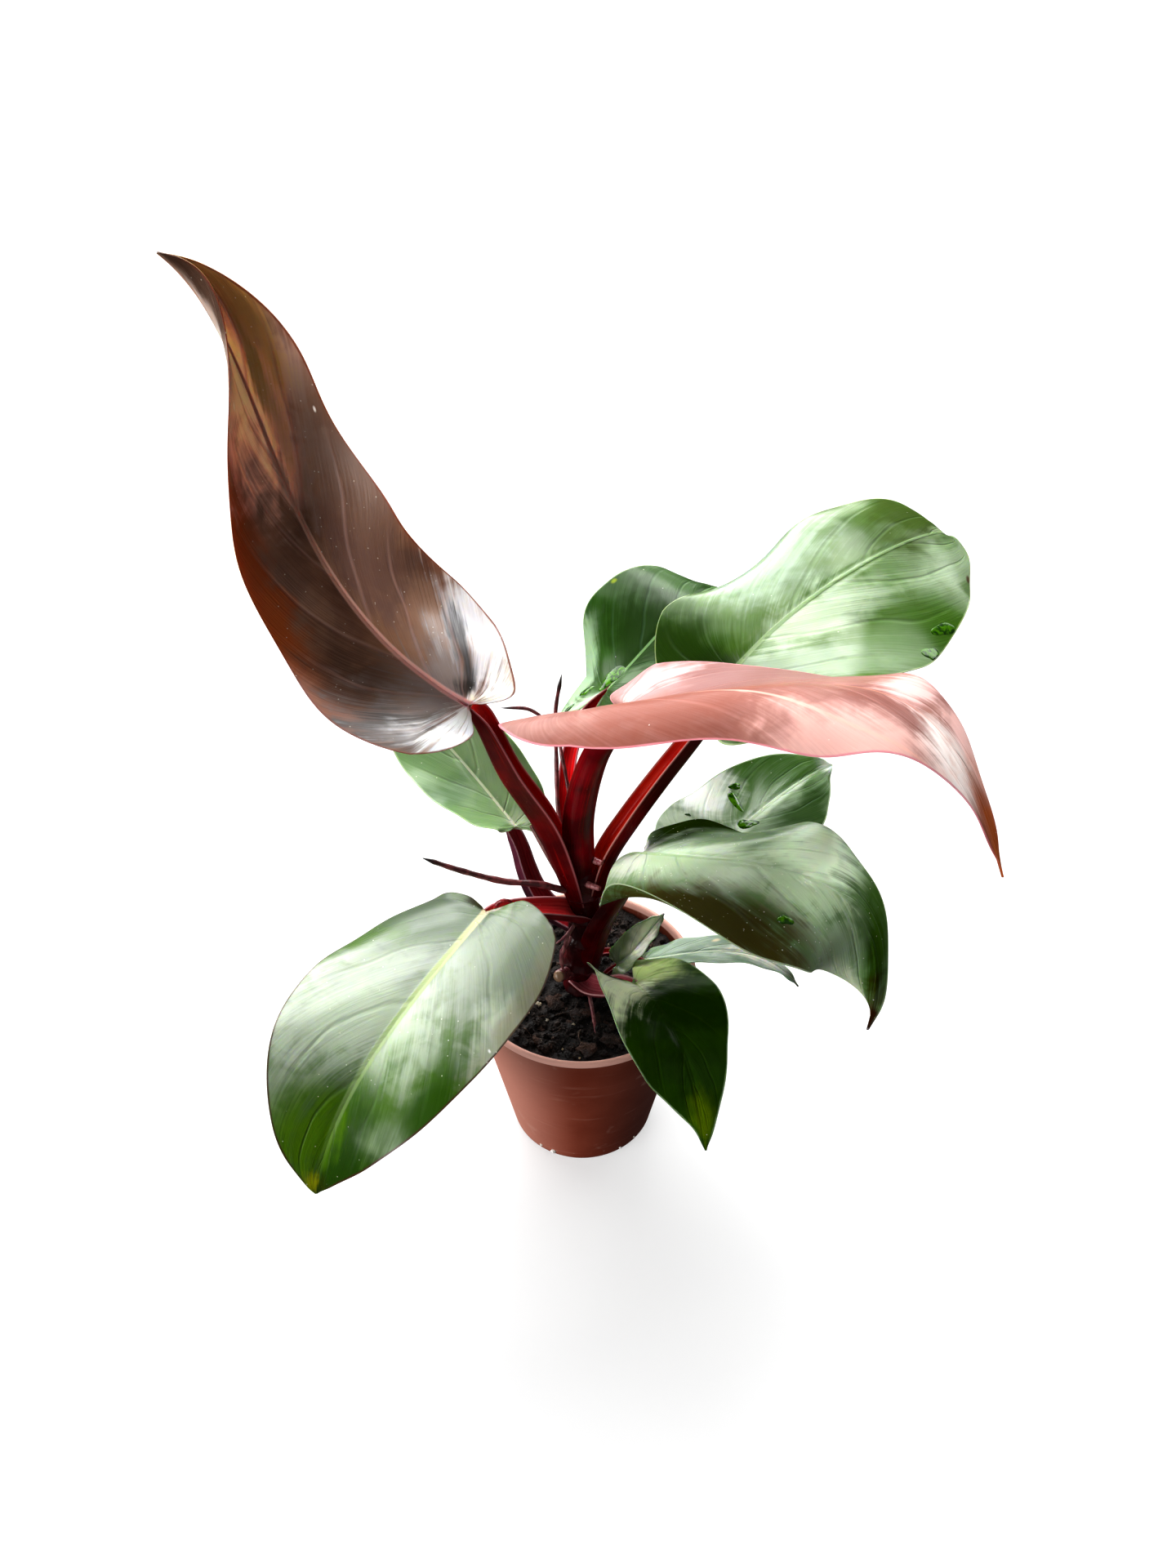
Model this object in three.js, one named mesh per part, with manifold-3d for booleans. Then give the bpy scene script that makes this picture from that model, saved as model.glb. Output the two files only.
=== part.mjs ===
// Copper philodendron, a rooted plant with eleven leaves in a 12 cm plastic nursery pot.
// Millimetres, +Z up. The origin is the centre of the pot's base, on the surface it stands on.
// +X runs to the right of the front view and +Y away from the viewer.
import * as THREE from 'three'
import { mergeVertices } from 'three/addons/utils/BufferGeometryUtils.js'
import Module from 'manifold-3d'

const wasm = await Module()
wasm.setup()

const { sin, cos, abs, max, min, PI } = Math

// Driving dimensions of the pot, the soil and the stem
const POT = {
  height: 110, rimRadius: 60, baseRadius: 39, wall: 2.2, floor: 2.4, footRadius: 2.5,
  lipHeight: 3.2, lipStep: 0.8, sides: 40,
  drainHoles: 6, drainRadius: 3.5, drainCircle: 27
}
const SOIL = {
  level: 101, edgeRise: 3.5, roughness: 1.1, sides: 32, rings: 5,
  lumps: 20, lumpSize: [1.6, 3.4], seed: 7
}
const STEM = { foot: 70, top: 186, lean: [3, 1], radius: 8, nodeRise: 1.3, nodes: 7, sides: 10, rings: 21 }
const GAP = 0.3

// Driving dimensions of a leaf blade. Its rows crowd together towards the base, its
// lobes lie in the first part of the outline, and each row arches from the midrib.
const BLADE = {
  thickness: 0.8, ridge: 1.6, tipWidth: 0.9, lobePart: 0.2, arch: [1.6, 1.3],
  rows: 18, columns: 8, crowding: 1.2, smallWidth: 80
}

// The outline that every blade shares, from the sinus at its base to its tip:
// half width as a share of the widest, place along the midrib, and the place where
// the side vein that ends there leaves the midrib
const OUTLINE = [
  [0.10, -0.035, 0.0], [0.42, -0.115, 0.004], [0.78, -0.055, 0.02], [0.97, 0.09, 0.07], [1.0, 0.25, 0.17],
  [0.93, 0.43, 0.33], [0.75, 0.62, 0.52], [0.47, 0.79, 0.71], [0.19, 0.92, 0.88], [0.012, 1.0, 1.0]
]

// Leaf colours
const COPPER = { color: 0x6b4334, roughness: 0.3 }
const PINK = { color: 0xe0917f, roughness: 0.4 }
const PALE = { color: 0x9fb592, roughness: 0.4 }
const GREEN = { color: 0x4f7a4a, roughness: 0.35 }
const DARK = { color: 0x2c5426, roughness: 0.3 }
const MAROON = { color: 0x3f0a10, roughness: 0.35 }

// One entry for each leaf. The blade's midrib is a Bezier curve through base, two
// handles and tip, and face is the way its upper side looks at the base. roll turns
// the blade about the midrib; fold and curl lift each half from the midrib outwards,
// left and right as seen from the base with the upper side up. These angles are in
// degrees at base, middle and tip. wave is the margin's height and its phase on each
// side. lobes scales the left and the right lobe behind the sinus, lobeLift is how far
// each of them turns up, and trim is each half's own share of the shared width, at
// even steps from sinus to tip. The petiole runs through its route to the blade,
// channelled on the side that adaxial points to, with the half width, the depth and
// the wing heights given at base, middle and end.
const LEAVES = {
  copper: {
    finish: COPPER, width: 93, lobes: [0.35, 0.5], face: [0.3, -0.8, 0.5],
    midrib: [[-47, -11, 289], [-141, 43, 314], [-121, 50, 425], [-152, 25, 464]],
    roll: [-22, 3, 55], foldLeft: [79, 29, 86], foldRight: [29, 57, 70],
    curlLeft: [-51, 41, -13], curlRight: [-31, -3, 27], wave: [-10, 0.05, 0.6],
    trimLeft: [1.1, 1, 1, 0.92, 1.08, 1.15], trimRight: [1, 1.03, 1.06, 1.1, 1.05, 0.85],
    petiole: {
      route: [[-1, 0, 166], [-8, -2, 191], [-17, -5, 220], [-31, -8, 250]],
      adaxial: [0.8, -0.35, 0.4], half: [7.5, 6.5, 5], depth: [6, 6, 4.5],
      wingLeft: [2, 2.5, 2], wingRight: [5, 9, 4]
    }
  },
  pink: {
    finish: PINK, width: 90, lobes: [0.4, 1.2], face: [0, 0.25, 1],
    midrib: [[18, -8, 285], [113, -52, 337], [131, -67, 355], [163, -94, 268]],
    roll: [-3, 4, 10], foldLeft: [8, -12, 8], foldRight: [24, 16, 3],
    curlLeft: [19, -11, 14], curlRight: [-69, -116, -59], wave: [-4, 0.3, 0.65],
    trimLeft: [1, 1, 0.88, 0.94, 1, 1], trimRight: [1.15, 1.17, 1, 0.96, 0.92, 1],
    lobeLift: [0, 5],
    petiole: {
      route: [[0, 1, 172], [-1, -2, 197], [-1, -4, 220], [3, -7, 247], [9, -11, 268]],
      adaxial: [-0.35, 0.9, 0.1], half: [7, 7.2, 5], depth: [6, 6, 4.5],
      wingLeft: [1.5, 2, 1.5], wingRight: [1.5, 2, 1.5]
    }
  },
  upper_right: {
    finish: PALE, width: 118, lobes: [1, 1.05], face: [-0.2, -0.6, 0.8],
    midrib: [[69, 34, 275], [113, 56, 324], [180, 103, 318], [187, 137, 289]],
    roll: [-24, -6, 9], foldLeft: [11, -7, 9], foldRight: [15, -10, 4],
    curlLeft: [-32, -69, 26], curlRight: [5, -1, -12], wave: [5.5, -0.05, 0.3],
    trimLeft: [1, 1, 1.05, 1, 1, 1], trimRight: [1, 1, 1, 1, 0.95, 1],
    petiole: {
      route: [[5, 0, 170], [12, 3, 192], [23, 8, 210], [37, 15, 229], [54, 24, 250]],
      adaxial: [-0.75, -0.4, 0.45], half: [6.5, 5.8, 4.5], depth: [6, 5.5, 4.5],
      wingLeft: [4, 6, 3], wingRight: [2, 2, 1.5]
    }
  },
  upper_back: {
    finish: DARK, width: 91, lobes: [1.6, 1], face: [-0.35, -0.5, 0.8],
    midrib: [[13, 78, 235], [46, 100, 262], [66, 130, 275], [81, 160, 242]],
    roll: [-41, -1, -12], foldLeft: [3, 8, 3], foldRight: [5, -5, -5],
    curlLeft: [-5, 2, 0], wave: [-2.5, 0, 0.3],
    trimLeft: [0.97, 0.95, 1, 1.05, 1.05, 1],
    petiole: {
      route: [[-1, 4, 168], [-7, 14, 194], [-8, 26, 208], [-5, 49, 221], [3, 66, 229]],
      adaxial: [0.1, -0.8, 0.5], half: [4.5, 4, 3.2], depth: [4, 3.5, 3],
      wingLeft: [1.5, 1.5, 1], wingRight: [1.5, 1.5, 1]
    }
  },
  left_back: {
    finish: PALE, width: 60, lobes: [0.2, 0.9], face: [0.25, -0.55, 0.8],
    midrib: [[-33, 26, 188], [-51, 44, 202], [-77, 62, 230], [-109, 77, 251]],
    roll: [39, 5, -21], foldLeft: [15, 8, 1], foldRight: [10, 8, 5],
    wave: [0.5, 0, 0.5],
    trimLeft: [1, 1, 1, 1.07, 1.06, 1],
    petiole: {
      route: [[-2, 3, 143], [-17, 10, 148], [-24, 15, 156], [-28, 19, 166], [-31, 23, 177]],
      adaxial: [0.7, -0.4, 0.4], half: [6.5, 6, 4.5], depth: [5, 5, 3.5],
      wingLeft: [2, 2.5, 1], wingRight: [2, 3, 1]
    }
  },
  right_back: {
    finish: GREEN, width: 73, lobes: [1, 1], face: [-0.1, -0.45, 0.85],
    midrib: [[73, 21, 182], [79, 39, 173], [111, 65, 187], [135, 87, 179]],
    roll: [-17, -15, 20], foldLeft: [7, 3, 9], foldRight: [8, 3, 6],
    curlLeft: [-3, -3, 1], wave: [-1, 0, 0.5],
    trimLeft: [1.05, 1.17, 1.1, 1.04, 1, 1],
    petiole: {
      route: [[4, 3, 158], [16, 7, 166], [34, 11, 173], [54, 16, 177]],
      adaxial: [-0.2, -0.1, 1], half: [4, 3.4, 2.8], depth: [3.5, 3.2, 2.6],
      wingLeft: [1.5, 1.5, 1], wingRight: [1.5, 1.5, 1]
    }
  },
  right: {
    finish: GREEN, width: 97, lobes: [0.55, 0.55], face: [0, 0, 1],
    midrib: [[29, -9, 203], [75, -51, 234], [137, -69, 259], [131, -72, 151]],
    roll: [2, 15, 25], foldLeft: [-10, -17, -18], foldRight: [-17, 2, -57],
    curlLeft: [-19, -29, 12], curlRight: [58, 35, -19], wave: [6.5, -0.1, 0.4],
    trimLeft: [1, 1.05, 1.05, 0.85, 0.8, 0.65], trimRight: [0.1, 0.6, 1.18, 1.14, 1.1, 1.15],
    lobeLift: [0, 13],
    petiole: {
      route: [[3, 0, 122], [9, -4, 150], [19, -9, 178]],
      adaxial: [-0.5, 0.5, 0.5], half: [8.5, 7.5, 4.5], depth: [6.5, 5.5, 4],
      wingLeft: [2, 2, 1], wingRight: [2, 2, 1]
    }
  },
  front_left: {
    finish: PALE, width: 108, lobes: [0.45, 0.25], face: [-0.1, -0.5, 0.85],
    midrib: [[-45, -21, 176], [-82, -68, 160], [-109, -121, 160], [-120, -122, 97]],
    roll: [33, 5, -11], foldLeft: [14, 21, 19], foldRight: [-3, 15, 31],
    curlLeft: [-67, -35, 6], curlRight: [-23, -34, 0], wave: [0.7, 0, 0.5],
    trimLeft: [1, 1, 1, 1, 0.95, 0.9], trimRight: [1, 1.03, 1.04, 1.03, 1.04, 1.03],
    petiole: {
      route: [[1, -2, 156], [-7, -8, 164], [-22, -14, 171], [-36, -18, 174]],
      adaxial: [0, -0.25, 1], half: [6.5, 5.5, 3.8], depth: [5.5, 5, 3.4],
      wingLeft: [1.5, 2, 1], wingRight: [2, 3, 1.5]
    }
  },
  front_right: {
    finish: DARK, width: 58, lobes: [1.8, 0.2], face: [-0.1, -0.6, 0.8],
    midrib: [[26, -31, 136], [40, -67, 159], [49, -100, 169], [58, -102, 101]],
    roll: [-38, -26, 9], foldLeft: [3, -3, -7], foldRight: [25, 9, -9],
    curlLeft: [22, 8, -7], curlRight: [43, 4, -3], wave: [1, 0, 0.5],
    trimLeft: [0.78, 1.03, 1.1, 1.03, 0.98, 0.95], trimRight: [-0.3, 0.98, 1, 1.06, 0.95, 0.75],
    petiole: {
      route: [[-2, -4, 112], [4, -12, 114], [12, -20, 121], [20, -26, 130]],
      adaxial: [0, -0.5, 0.85], half: [6, 5.5, 3.5], depth: [4, 4, 3],
      wingLeft: [2, 3, 1], wingRight: [1, 1.5, 1]
    }
  },
  low_right: {
    finish: PALE, width: 31, lobes: [0.4, 1], face: [0, -0.1, 1],
    midrib: [[33, 7, 112], [55, 2, 121], [92, 6, 133], [114, 0, 99]],
    roll: [-27, -18, -3], foldLeft: [0, 2, 2], foldRight: [8, 11, 7],
    curlLeft: [-3, 4, -2],
    trimLeft: [1, 1, 1, 0.95, 0.9, 0.97],
    petiole: {
      route: [[4, 3, 118], [12, 6, 119], [22, 7, 116]],
      adaxial: [0, 0, 1], half: [2.6, 2, 1.6], depth: [2.4, 2, 1.6],
      wingLeft: [0.8, 0.8, 0.5], wingRight: [0.8, 0.8, 0.5]
    }
  },
  small: {
    finish: PALE, width: 22, lobes: [0.6, 1], face: [-0.3, -0.6, 0.8],
    midrib: [[18, -2, 118], [24, -3, 122], [36, 9, 134], [42, 9, 144]],
    roll: [-2, -12, 12], foldLeft: [29, 30, 30], foldRight: [32, 34, 27],
    curlRight: [1, 5, -1],
    trimLeft: [1, 0.9, 0.83, 0.95, 1, 1], trimRight: [1, 0.98, 0.97, 1, 1.03, 1],
    petiole: {
      route: [[4, 0, 104], [10, -1, 107], [14, -1, 112]],
      adaxial: [-0.3, 0, 1], half: [2.4, 2, 1.6], depth: [2.2, 1.9, 1.5],
      wingLeft: [0.6, 0.6, 0.4], wingRight: [0.6, 0.6, 0.4]
    }
  }
}

// Free aerial roots: route from the stem outwards, thickness at start and tip
const AERIAL_ROOTS = {
  left: {
    route: [[-8, -7, 176], [-20, -10, 183], [-37, -14, 189], [-57, -20, 202], [-72, -25, 214]],
    radius: [1.8, 1.1]
  },
  short: {
    route: [[-6, 19, 216], [-9, 26, 231], [-12, 32, 242], [-24, 37, 252], [-38, 36, 254]],
    radius: [0.9, 0.8]
  },
  upright: {
    route: [[-7, 9, 186], [-11, 17, 204], [-12, 29, 232], [-12, 34, 254], [-9, 36, 273]],
    radius: [1.1, 0.9]
  }
}

// Short roots and stubs that belong to the stem
const STEM_ROOTS = [
  { route: [[-3, -5, 152], [-7, -9, 146], [-10, -11, 131]], radius: [1.0, 0.8] },
  { route: [[-4, -6, 150], [-9, -11, 147], [-14, -12, 143]], radius: [0.9, 0.7] },
  { route: [[-5, -4, 141], [-10, -9, 134], [-9, -12, 121]], radius: [1.3, 0.9] },
  { route: [[1, -4, 112], [4, -13, 106], [6, -26, 105], [8, -38, 100]], radius: [1.2, 0.8] },
  { route: [[-3, -3, 116], [-9, -9, 120], [-14, -14, 124]], radius: [3.6, 3.8] },
  { route: [[0, -3, 178], [5, -9, 181], [9, -12, 182]], radius: [1.8, 1.4] }
]

// The dried sheath that stands between two petioles
const DRY_SHEATH = {
  route: [[-4, 5, 158], [-9, 9, 170], [-16, 14, 182], [-24, 19, 196]],
  adaxial: [0.7, -0.4, 0.4], half: [3.5, 3.5, 2.5], depth: [1.4, 1.2, 1],
  wingLeft: [1, 1.5, 1], wingRight: [1, 1.5, 1]
}

const vector = (p) => new THREE.Vector3(...p)
const radians = THREE.MathUtils.degToRad
const mix = THREE.MathUtils.lerp
const clamp = THREE.MathUtils.clamp

// A value given at base, middle and end, blended smoothly along v
function blend([base, middle, end], v) {
  const w = clamp(v, 0, 1)
  return base * (1 - w) * (1 - 2 * w) + middle * 4 * w * (1 - w) + end * w * (2 * w - 1)
}

// A repeatable stream of numbers from 0 to 1
function randomStream(seed) {
  let state = seed
  return () => {
    state = (state * 16807) % 2147483647
    return state / 2147483647
  }
}

// A closed mesh as a solid for joining and cutting, and back
function toSolid(geometry) {
  const bare = geometry.clone()
  for (const name of ['normal', 'uv']) bare.deleteAttribute(name)
  const merged = mergeVertices(bare, 1e-4)
  return new wasm.Manifold(new wasm.Mesh({
    numProp: 3,
    vertProperties: new Float32Array(merged.attributes.position.array),
    triVerts: new Uint32Array(merged.index.array)
  }))
}

function toGeometry(solid) {
  const { vertProperties, triVerts } = solid.getMesh()
  const geometry = new THREE.BufferGeometry()
  geometry.setAttribute('position', new THREE.Float32BufferAttribute(vertProperties, 3))
  geometry.setIndex([...triVerts])
  geometry.computeVertexNormals()
  return geometry
}

// Cuts each cutter from the solid and keeps the largest body that is left
function cutAndKeepLargest(solid, cutters) {
  const left = cutters.reduce((rest, cutter) => rest.subtract(cutter), solid)
  return left.decompose().sort((a, b) => b.volume() - a.volume())[0]
}

const positions = (points) => new THREE.Float32BufferAttribute(points.flatMap((p) => p.toArray()), 3)

// Joins rings of points, each a closed loop of the same length, into a closed skin.
// capTriangles are the triangles of one end, counted along the loop.
function skinFromRings(rings, capTriangles) {
  const count = rings[0].length
  const index = []
  for (let ring = 0; ring < rings.length - 1; ring++) {
    for (let side = 0; side < count; side++) {
      const a = ring * count + side
      const b = ring * count + (side + 1) % count
      index.push(a, b, b + count, a, b + count, a + count)
    }
  }
  const last = (rings.length - 1) * count
  for (const [a, b, c] of capTriangles) index.push(c, b, a, last + a, last + b, last + c)
  const geometry = new THREE.BufferGeometry()
  geometry.setAttribute('position', positions(rings.flat()))
  geometry.setIndex(index)
  return geometry
}

// Sweeps a section along a route. sectionAt(t) gives the section's corners, counted
// anticlockwise with x to the side and y to the up vector's side.
function sweep(route, up, sectionAt, steps) {
  const curve = new THREE.CatmullRomCurve3(route.map(vector))
  const upward = vector(up)
  const rings = []
  for (let step = 0; step <= steps; step++) {
    const t = step / steps
    const centre = curve.getPointAt(t)
    const tangent = curve.getTangentAt(t)
    const rise = upward.clone().projectOnPlane(tangent).normalize()
    const side = new THREE.Vector3().crossVectors(rise, tangent)
    rings.push(sectionAt(t).map(([x, y]) =>
      centre.clone().addScaledVector(side, x).addScaledVector(rise, y)))
  }
  const flat = sectionAt(0).map(([x, y]) => new THREE.Vector2(x, y))
  return skinFromRings(rings, THREE.ShapeUtils.triangulateShape(flat, []))
}

function roundSection(radius, sides) {
  return Array.from({ length: sides }, (_, k) => {
    const angle = 2 * PI * k / sides
    return [radius * cos(angle), radius * sin(angle)]
  })
}

// Section of a petiole: a round back, and a channel between two thin wings
function petioleSection(petiole, t, grow) {
  const half = blend(petiole.half, t) + grow
  const depth = blend(petiole.depth, t) + grow
  const right = blend(petiole.wingRight, t) + grow
  const left = blend(petiole.wingLeft, t) + grow
  const back = [180, 225, 270, 315, 360].map((degrees) => {
    const angle = radians(degrees)
    return [half * cos(angle), depth * sin(angle)]
  })
  const edge = 0.9
  const channel = grow > 0
    ? [[half * 1.02, right], [-half * 1.02, left]]
    : [
        [half * 1.02, right], [half * 1.02 - edge, right], [half * 0.62, min(right, 0.5) - 0.2],
        [0, -0.25 * depth],
        [-half * 0.62, min(left, 0.5) - 0.2], [edge - half * 1.02, left], [-half * 1.02, left]
      ]
  return [...back, ...channel]
}

function petioleGeometry(petiole, end, grow = 0) {
  const steps = petiole.half[0] > 5 ? 10 : 8
  return sweep([...petiole.route, end], petiole.adaxial, (t) => petioleSection(petiole, t, grow), steps)
}

function rootGeometry({ route, radius: [start, tip] }, grow = 0, steps = 10, sides = 8) {
  const radiusAt = (t) => mix(start, tip, t) * (t < 1 ? 1 : 0.6) + grow
  return sweep(route, [0.31, 0.2, 0.93], (t) => roundSection(radiusAt(t), sides), steps)
}

const smoothCurve = (points) => new THREE.CatmullRomCurve3(points, false, 'catmullrom', 0.5)
const outlineCurve = smoothCurve(OUTLINE.map(vector))
const trimAt = (trim, place) => smoothCurve(trim.map((share) => vector([share, 0, 0]))).getPoint(place).x

// Midrib point and direction; beyond the base it runs on straight, for the lobes
function midribAt(leaf, v) {
  const curve = new THREE.CubicBezierCurve3(...leaf.midrib.map(vector))
  const inside = max(v, 0)
  const [p0, p1, p2, p3] = [curve.v0, curve.v1, curve.v2, curve.v3]
  const slope = p1.clone().sub(p0).multiplyScalar(3 * (1 - inside) ** 2)
    .addScaledVector(p2.clone().sub(p1), 6 * inside * (1 - inside))
    .addScaledVector(p3.clone().sub(p2), 3 * inside ** 2)
  return { point: curve.getPoint(inside).addScaledVector(slope, v - inside), tangent: slope.normalize() }
}

// A point of the blade: across runs from -1 at the left to 1 at the right of the
// widest place, along from 0 at the base to 1 at the tip, and rise is what it stands up
function bladePoint(leaf, across, along, rise) {
  const flat = [0, 0, 0]
  const { point, tangent } = midribAt(leaf, along)
  const normal = vector(leaf.face).projectOnPlane(tangent).normalize()
  const side = new THREE.Vector3().crossVectors(tangent, normal)
  const roll = radians(blend(leaf.roll, along))
  const up = normal.clone().multiplyScalar(cos(roll)).addScaledVector(side, sin(roll))
  const right = side.clone().multiplyScalar(cos(roll)).addScaledVector(normal, -sin(roll))
  const onRight = across > 0
  const fold = blend(onRight ? leaf.foldRight : leaf.foldLeft, along)
  const curl = blend((onRight ? leaf.curlRight : leaf.curlLeft) ?? flat, along)
  const [height, phaseRight, phaseLeft] = leaf.wave ?? flat
  const share = abs(across)
  const lift = radians(fold + curl * share * share / 3)
  const half = leaf.width / 2
  const ripple = height * share * share * sin(2 * PI * (2 * along + (onRight ? phaseRight : phaseLeft)))
  return point
    .addScaledVector(right, across * half * cos(lift))
    .addScaledVector(up, share * half * sin(lift) + ripple + rise)
}

// Rows of blade points that follow the side veins out to both margins
function bladeRows(leaf, rows, columns) {
  return Array.from({ length: rows + 1 }, (_, row) => {
    const place = (row / rows) ** BLADE.crowding
    const edge = outlineCurve.getPoint(place)
    const rear = max(1 - place / BLADE.lobePart, 0) ** 2
    const arch = mix(...BLADE.arch, edge.z)
    const sides = [leaf.trimLeft, leaf.trimRight].map((trim, k) => ({
      reach: max(edge.x * trimAt(trim ?? [1, 1], place), BLADE.tipWidth / leaf.width),
      alongEdge: edge.y < 0 ? edge.y * leaf.lobes[k] : edge.y,
      lift: (leaf.lobeLift ?? [0, 0])[k] * rear
    }))
    return Array.from({ length: columns + 1 }, (_, column) => {
      const share = 2 * column / columns - 1
      const { reach, alongEdge, lift } = sides[share > 0 ? 1 : 0]
      const along = edge.z + (alongEdge - edge.z) * abs(share) ** arch
      return bladePoint(leaf, share * reach, along, abs(share) * reach * lift)
    })
  })
}

// The blade as a thin closed solid with its midrib raised on the underside
function bladeGeometry(leaf, grow = 0) {
  const small = leaf.width < BLADE.smallWidth
  const rows = small ? BLADE.rows - 4 : BLADE.rows
  const columns = small ? BLADE.columns - 2 : BLADE.columns
  const middle = bladeRows(leaf, rows, columns)
  const at = (row, column) => middle[clamp(row, 0, rows)][clamp(column, 0, columns)]
  const upper = []
  const lower = []
  for (let row = 0; row <= rows; row++) {
    for (let column = 0; column <= columns; column++) {
      const across = at(row, column + 1).clone().sub(at(row, column - 1))
      const along = at(row + 1, column).clone().sub(at(row - 1, column))
      const normal = across.clone().cross(along).normalize()
      const point = at(row, column).clone()
      if (row === 0) point.addScaledVector(along.normalize(), -grow)
      if (column === 0) point.addScaledVector(across.normalize(), -grow)
      if (column === columns) point.addScaledVector(across.normalize(), grow)
      const ridge = 2 * column === columns ? BLADE.ridge * (1 - (row / rows) ** BLADE.crowding) : 0
      upper.push(point.clone().addScaledVector(normal, BLADE.thickness / 2 + grow))
      lower.push(point.clone().addScaledVector(normal, -BLADE.thickness / 2 - ridge - grow))
    }
  }
  const stride = columns + 1
  const underside = upper.length
  const index = []
  for (let row = 0; row < rows; row++) {
    for (let column = 0; column < columns; column++) {
      const a = row * stride + column
      const [b, c, d] = [a + 1, a + stride + 1, a + stride]
      index.push(a, b, c, a, c, d)
      index.push(...[a, c, b, a, d, c].map((k) => k + underside))
    }
  }
  const rim = []
  for (let column = 0; column < columns; column++) rim.push(column)
  for (let row = 0; row < rows; row++) rim.push(row * stride + columns)
  for (let column = columns; column > 0; column--) rim.push(rows * stride + column)
  for (let row = rows; row > 0; row--) rim.push(row * stride)
  rim.forEach((a, k) => {
    const b = rim[(k + 1) % rim.length]
    index.push(a, a + underside, b + underside, a, b + underside, b)
  })
  const geometry = new THREE.BufferGeometry()
  geometry.setAttribute('position', positions([...upper, ...lower]))
  geometry.setIndex(index)
  return geometry
}

// Where a petiole meets its blade: just under the midrib's base
function petioleEnd(leaf) {
  const base = midribAt(leaf, 0)
  const normal = vector(leaf.face).projectOnPlane(base.tangent).normalize()
  const side = new THREE.Vector3().crossVectors(base.tangent, normal)
  const roll = radians(leaf.roll[0])
  const up = normal.multiplyScalar(cos(roll)).addScaledVector(side, sin(roll))
  return base.point.addScaledVector(up, -0.6 * leaf.petiole.depth[2]).toArray()
}

// The stem: a slightly leaning column, swollen at its nodes
function stemGeometry(grow = 0) {
  const { foot, top, lean, radius, nodeRise, nodes, sides, rings } = STEM
  const route = [
    [0, 0, foot], [0, 0, mix(foot, top, 0.4)],
    [lean[0] * 0.4, lean[1] * 0.4, mix(foot, top, 0.7)], [lean[0] * 0.3, lean[1] * 0.3, top]
  ]
  const radiusAt = (t) => {
    const swell = nodeRise * max(0, cos(2 * PI * nodes * t)) ** 2
    const close = t > 0.93 ? 1 - 0.5 * ((t - 0.93) / 0.07) ** 2 : 1
    return (radius + swell) * close + grow
  }
  return sweep(route, [0, 1, 0], (t) => roundSection(radiusAt(t), sides), rings)
}

function stemSolid(grow = 0) {
  return STEM_ROOTS.reduce(
    (stem, root) => stem.add(toSolid(rootGeometry(root, grow, 5, 7))), toSolid(stemGeometry(grow)))
}

// The pot: a thin tapered shell with a small lip and drain holes in its floor
function potGeometry() {
  const { height, rimRadius, baseRadius, wall, floor, footRadius, lipHeight, lipStep, sides } = POT
  const wallAt = (z) => mix(baseRadius, rimRadius - lipStep, z / height)
  const lip = height - lipHeight
  const profile = [
    [0, 0], [baseRadius - footRadius, 0], [baseRadius - 0.3 * footRadius, 0.3 * footRadius],
    [wallAt(footRadius), footRadius], [wallAt(lip - lipStep), lip - lipStep], [rimRadius - 0.2, lip],
    [rimRadius, height - 1], [rimRadius - 0.6, height - 0.2], [rimRadius - 1.4, height],
    [rimRadius - 2.3, height - 0.3], [rimRadius - wall - lipStep, height - 1.6],
    [wallAt(floor) - wall, floor], [0, floor]
  ].map(([x, y]) => new THREE.Vector2(x, y))
  const shell = new THREE.LatheGeometry(profile, sides).rotateX(PI / 2)
  const hole = new THREE.CylinderGeometry(POT.drainRadius, POT.drainRadius, 4 * floor, 12).rotateX(PI / 2)
  let solid = toSolid(shell)
  for (let k = 0; k < POT.drainHoles; k++) {
    const angle = 2 * PI * (k + 0.5) / POT.drainHoles
    solid = solid.subtract(toSolid(hole.clone().translate(
      POT.drainCircle * cos(angle), POT.drainCircle * sin(angle), 0)))
  }
  return toGeometry(solid)
}

// Soil height at a place on its surface: uneven, and higher towards the wall
function soilHeight(x, y, reach) {
  const rough = sin(0.31 * x + 1.1) * cos(0.27 * y - 0.4) + 0.6 * sin(0.62 * x - 0.51 * y + 2)
  return SOIL.level + SOIL.edgeRise * reach * reach + SOIL.roughness * rough
}

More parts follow.
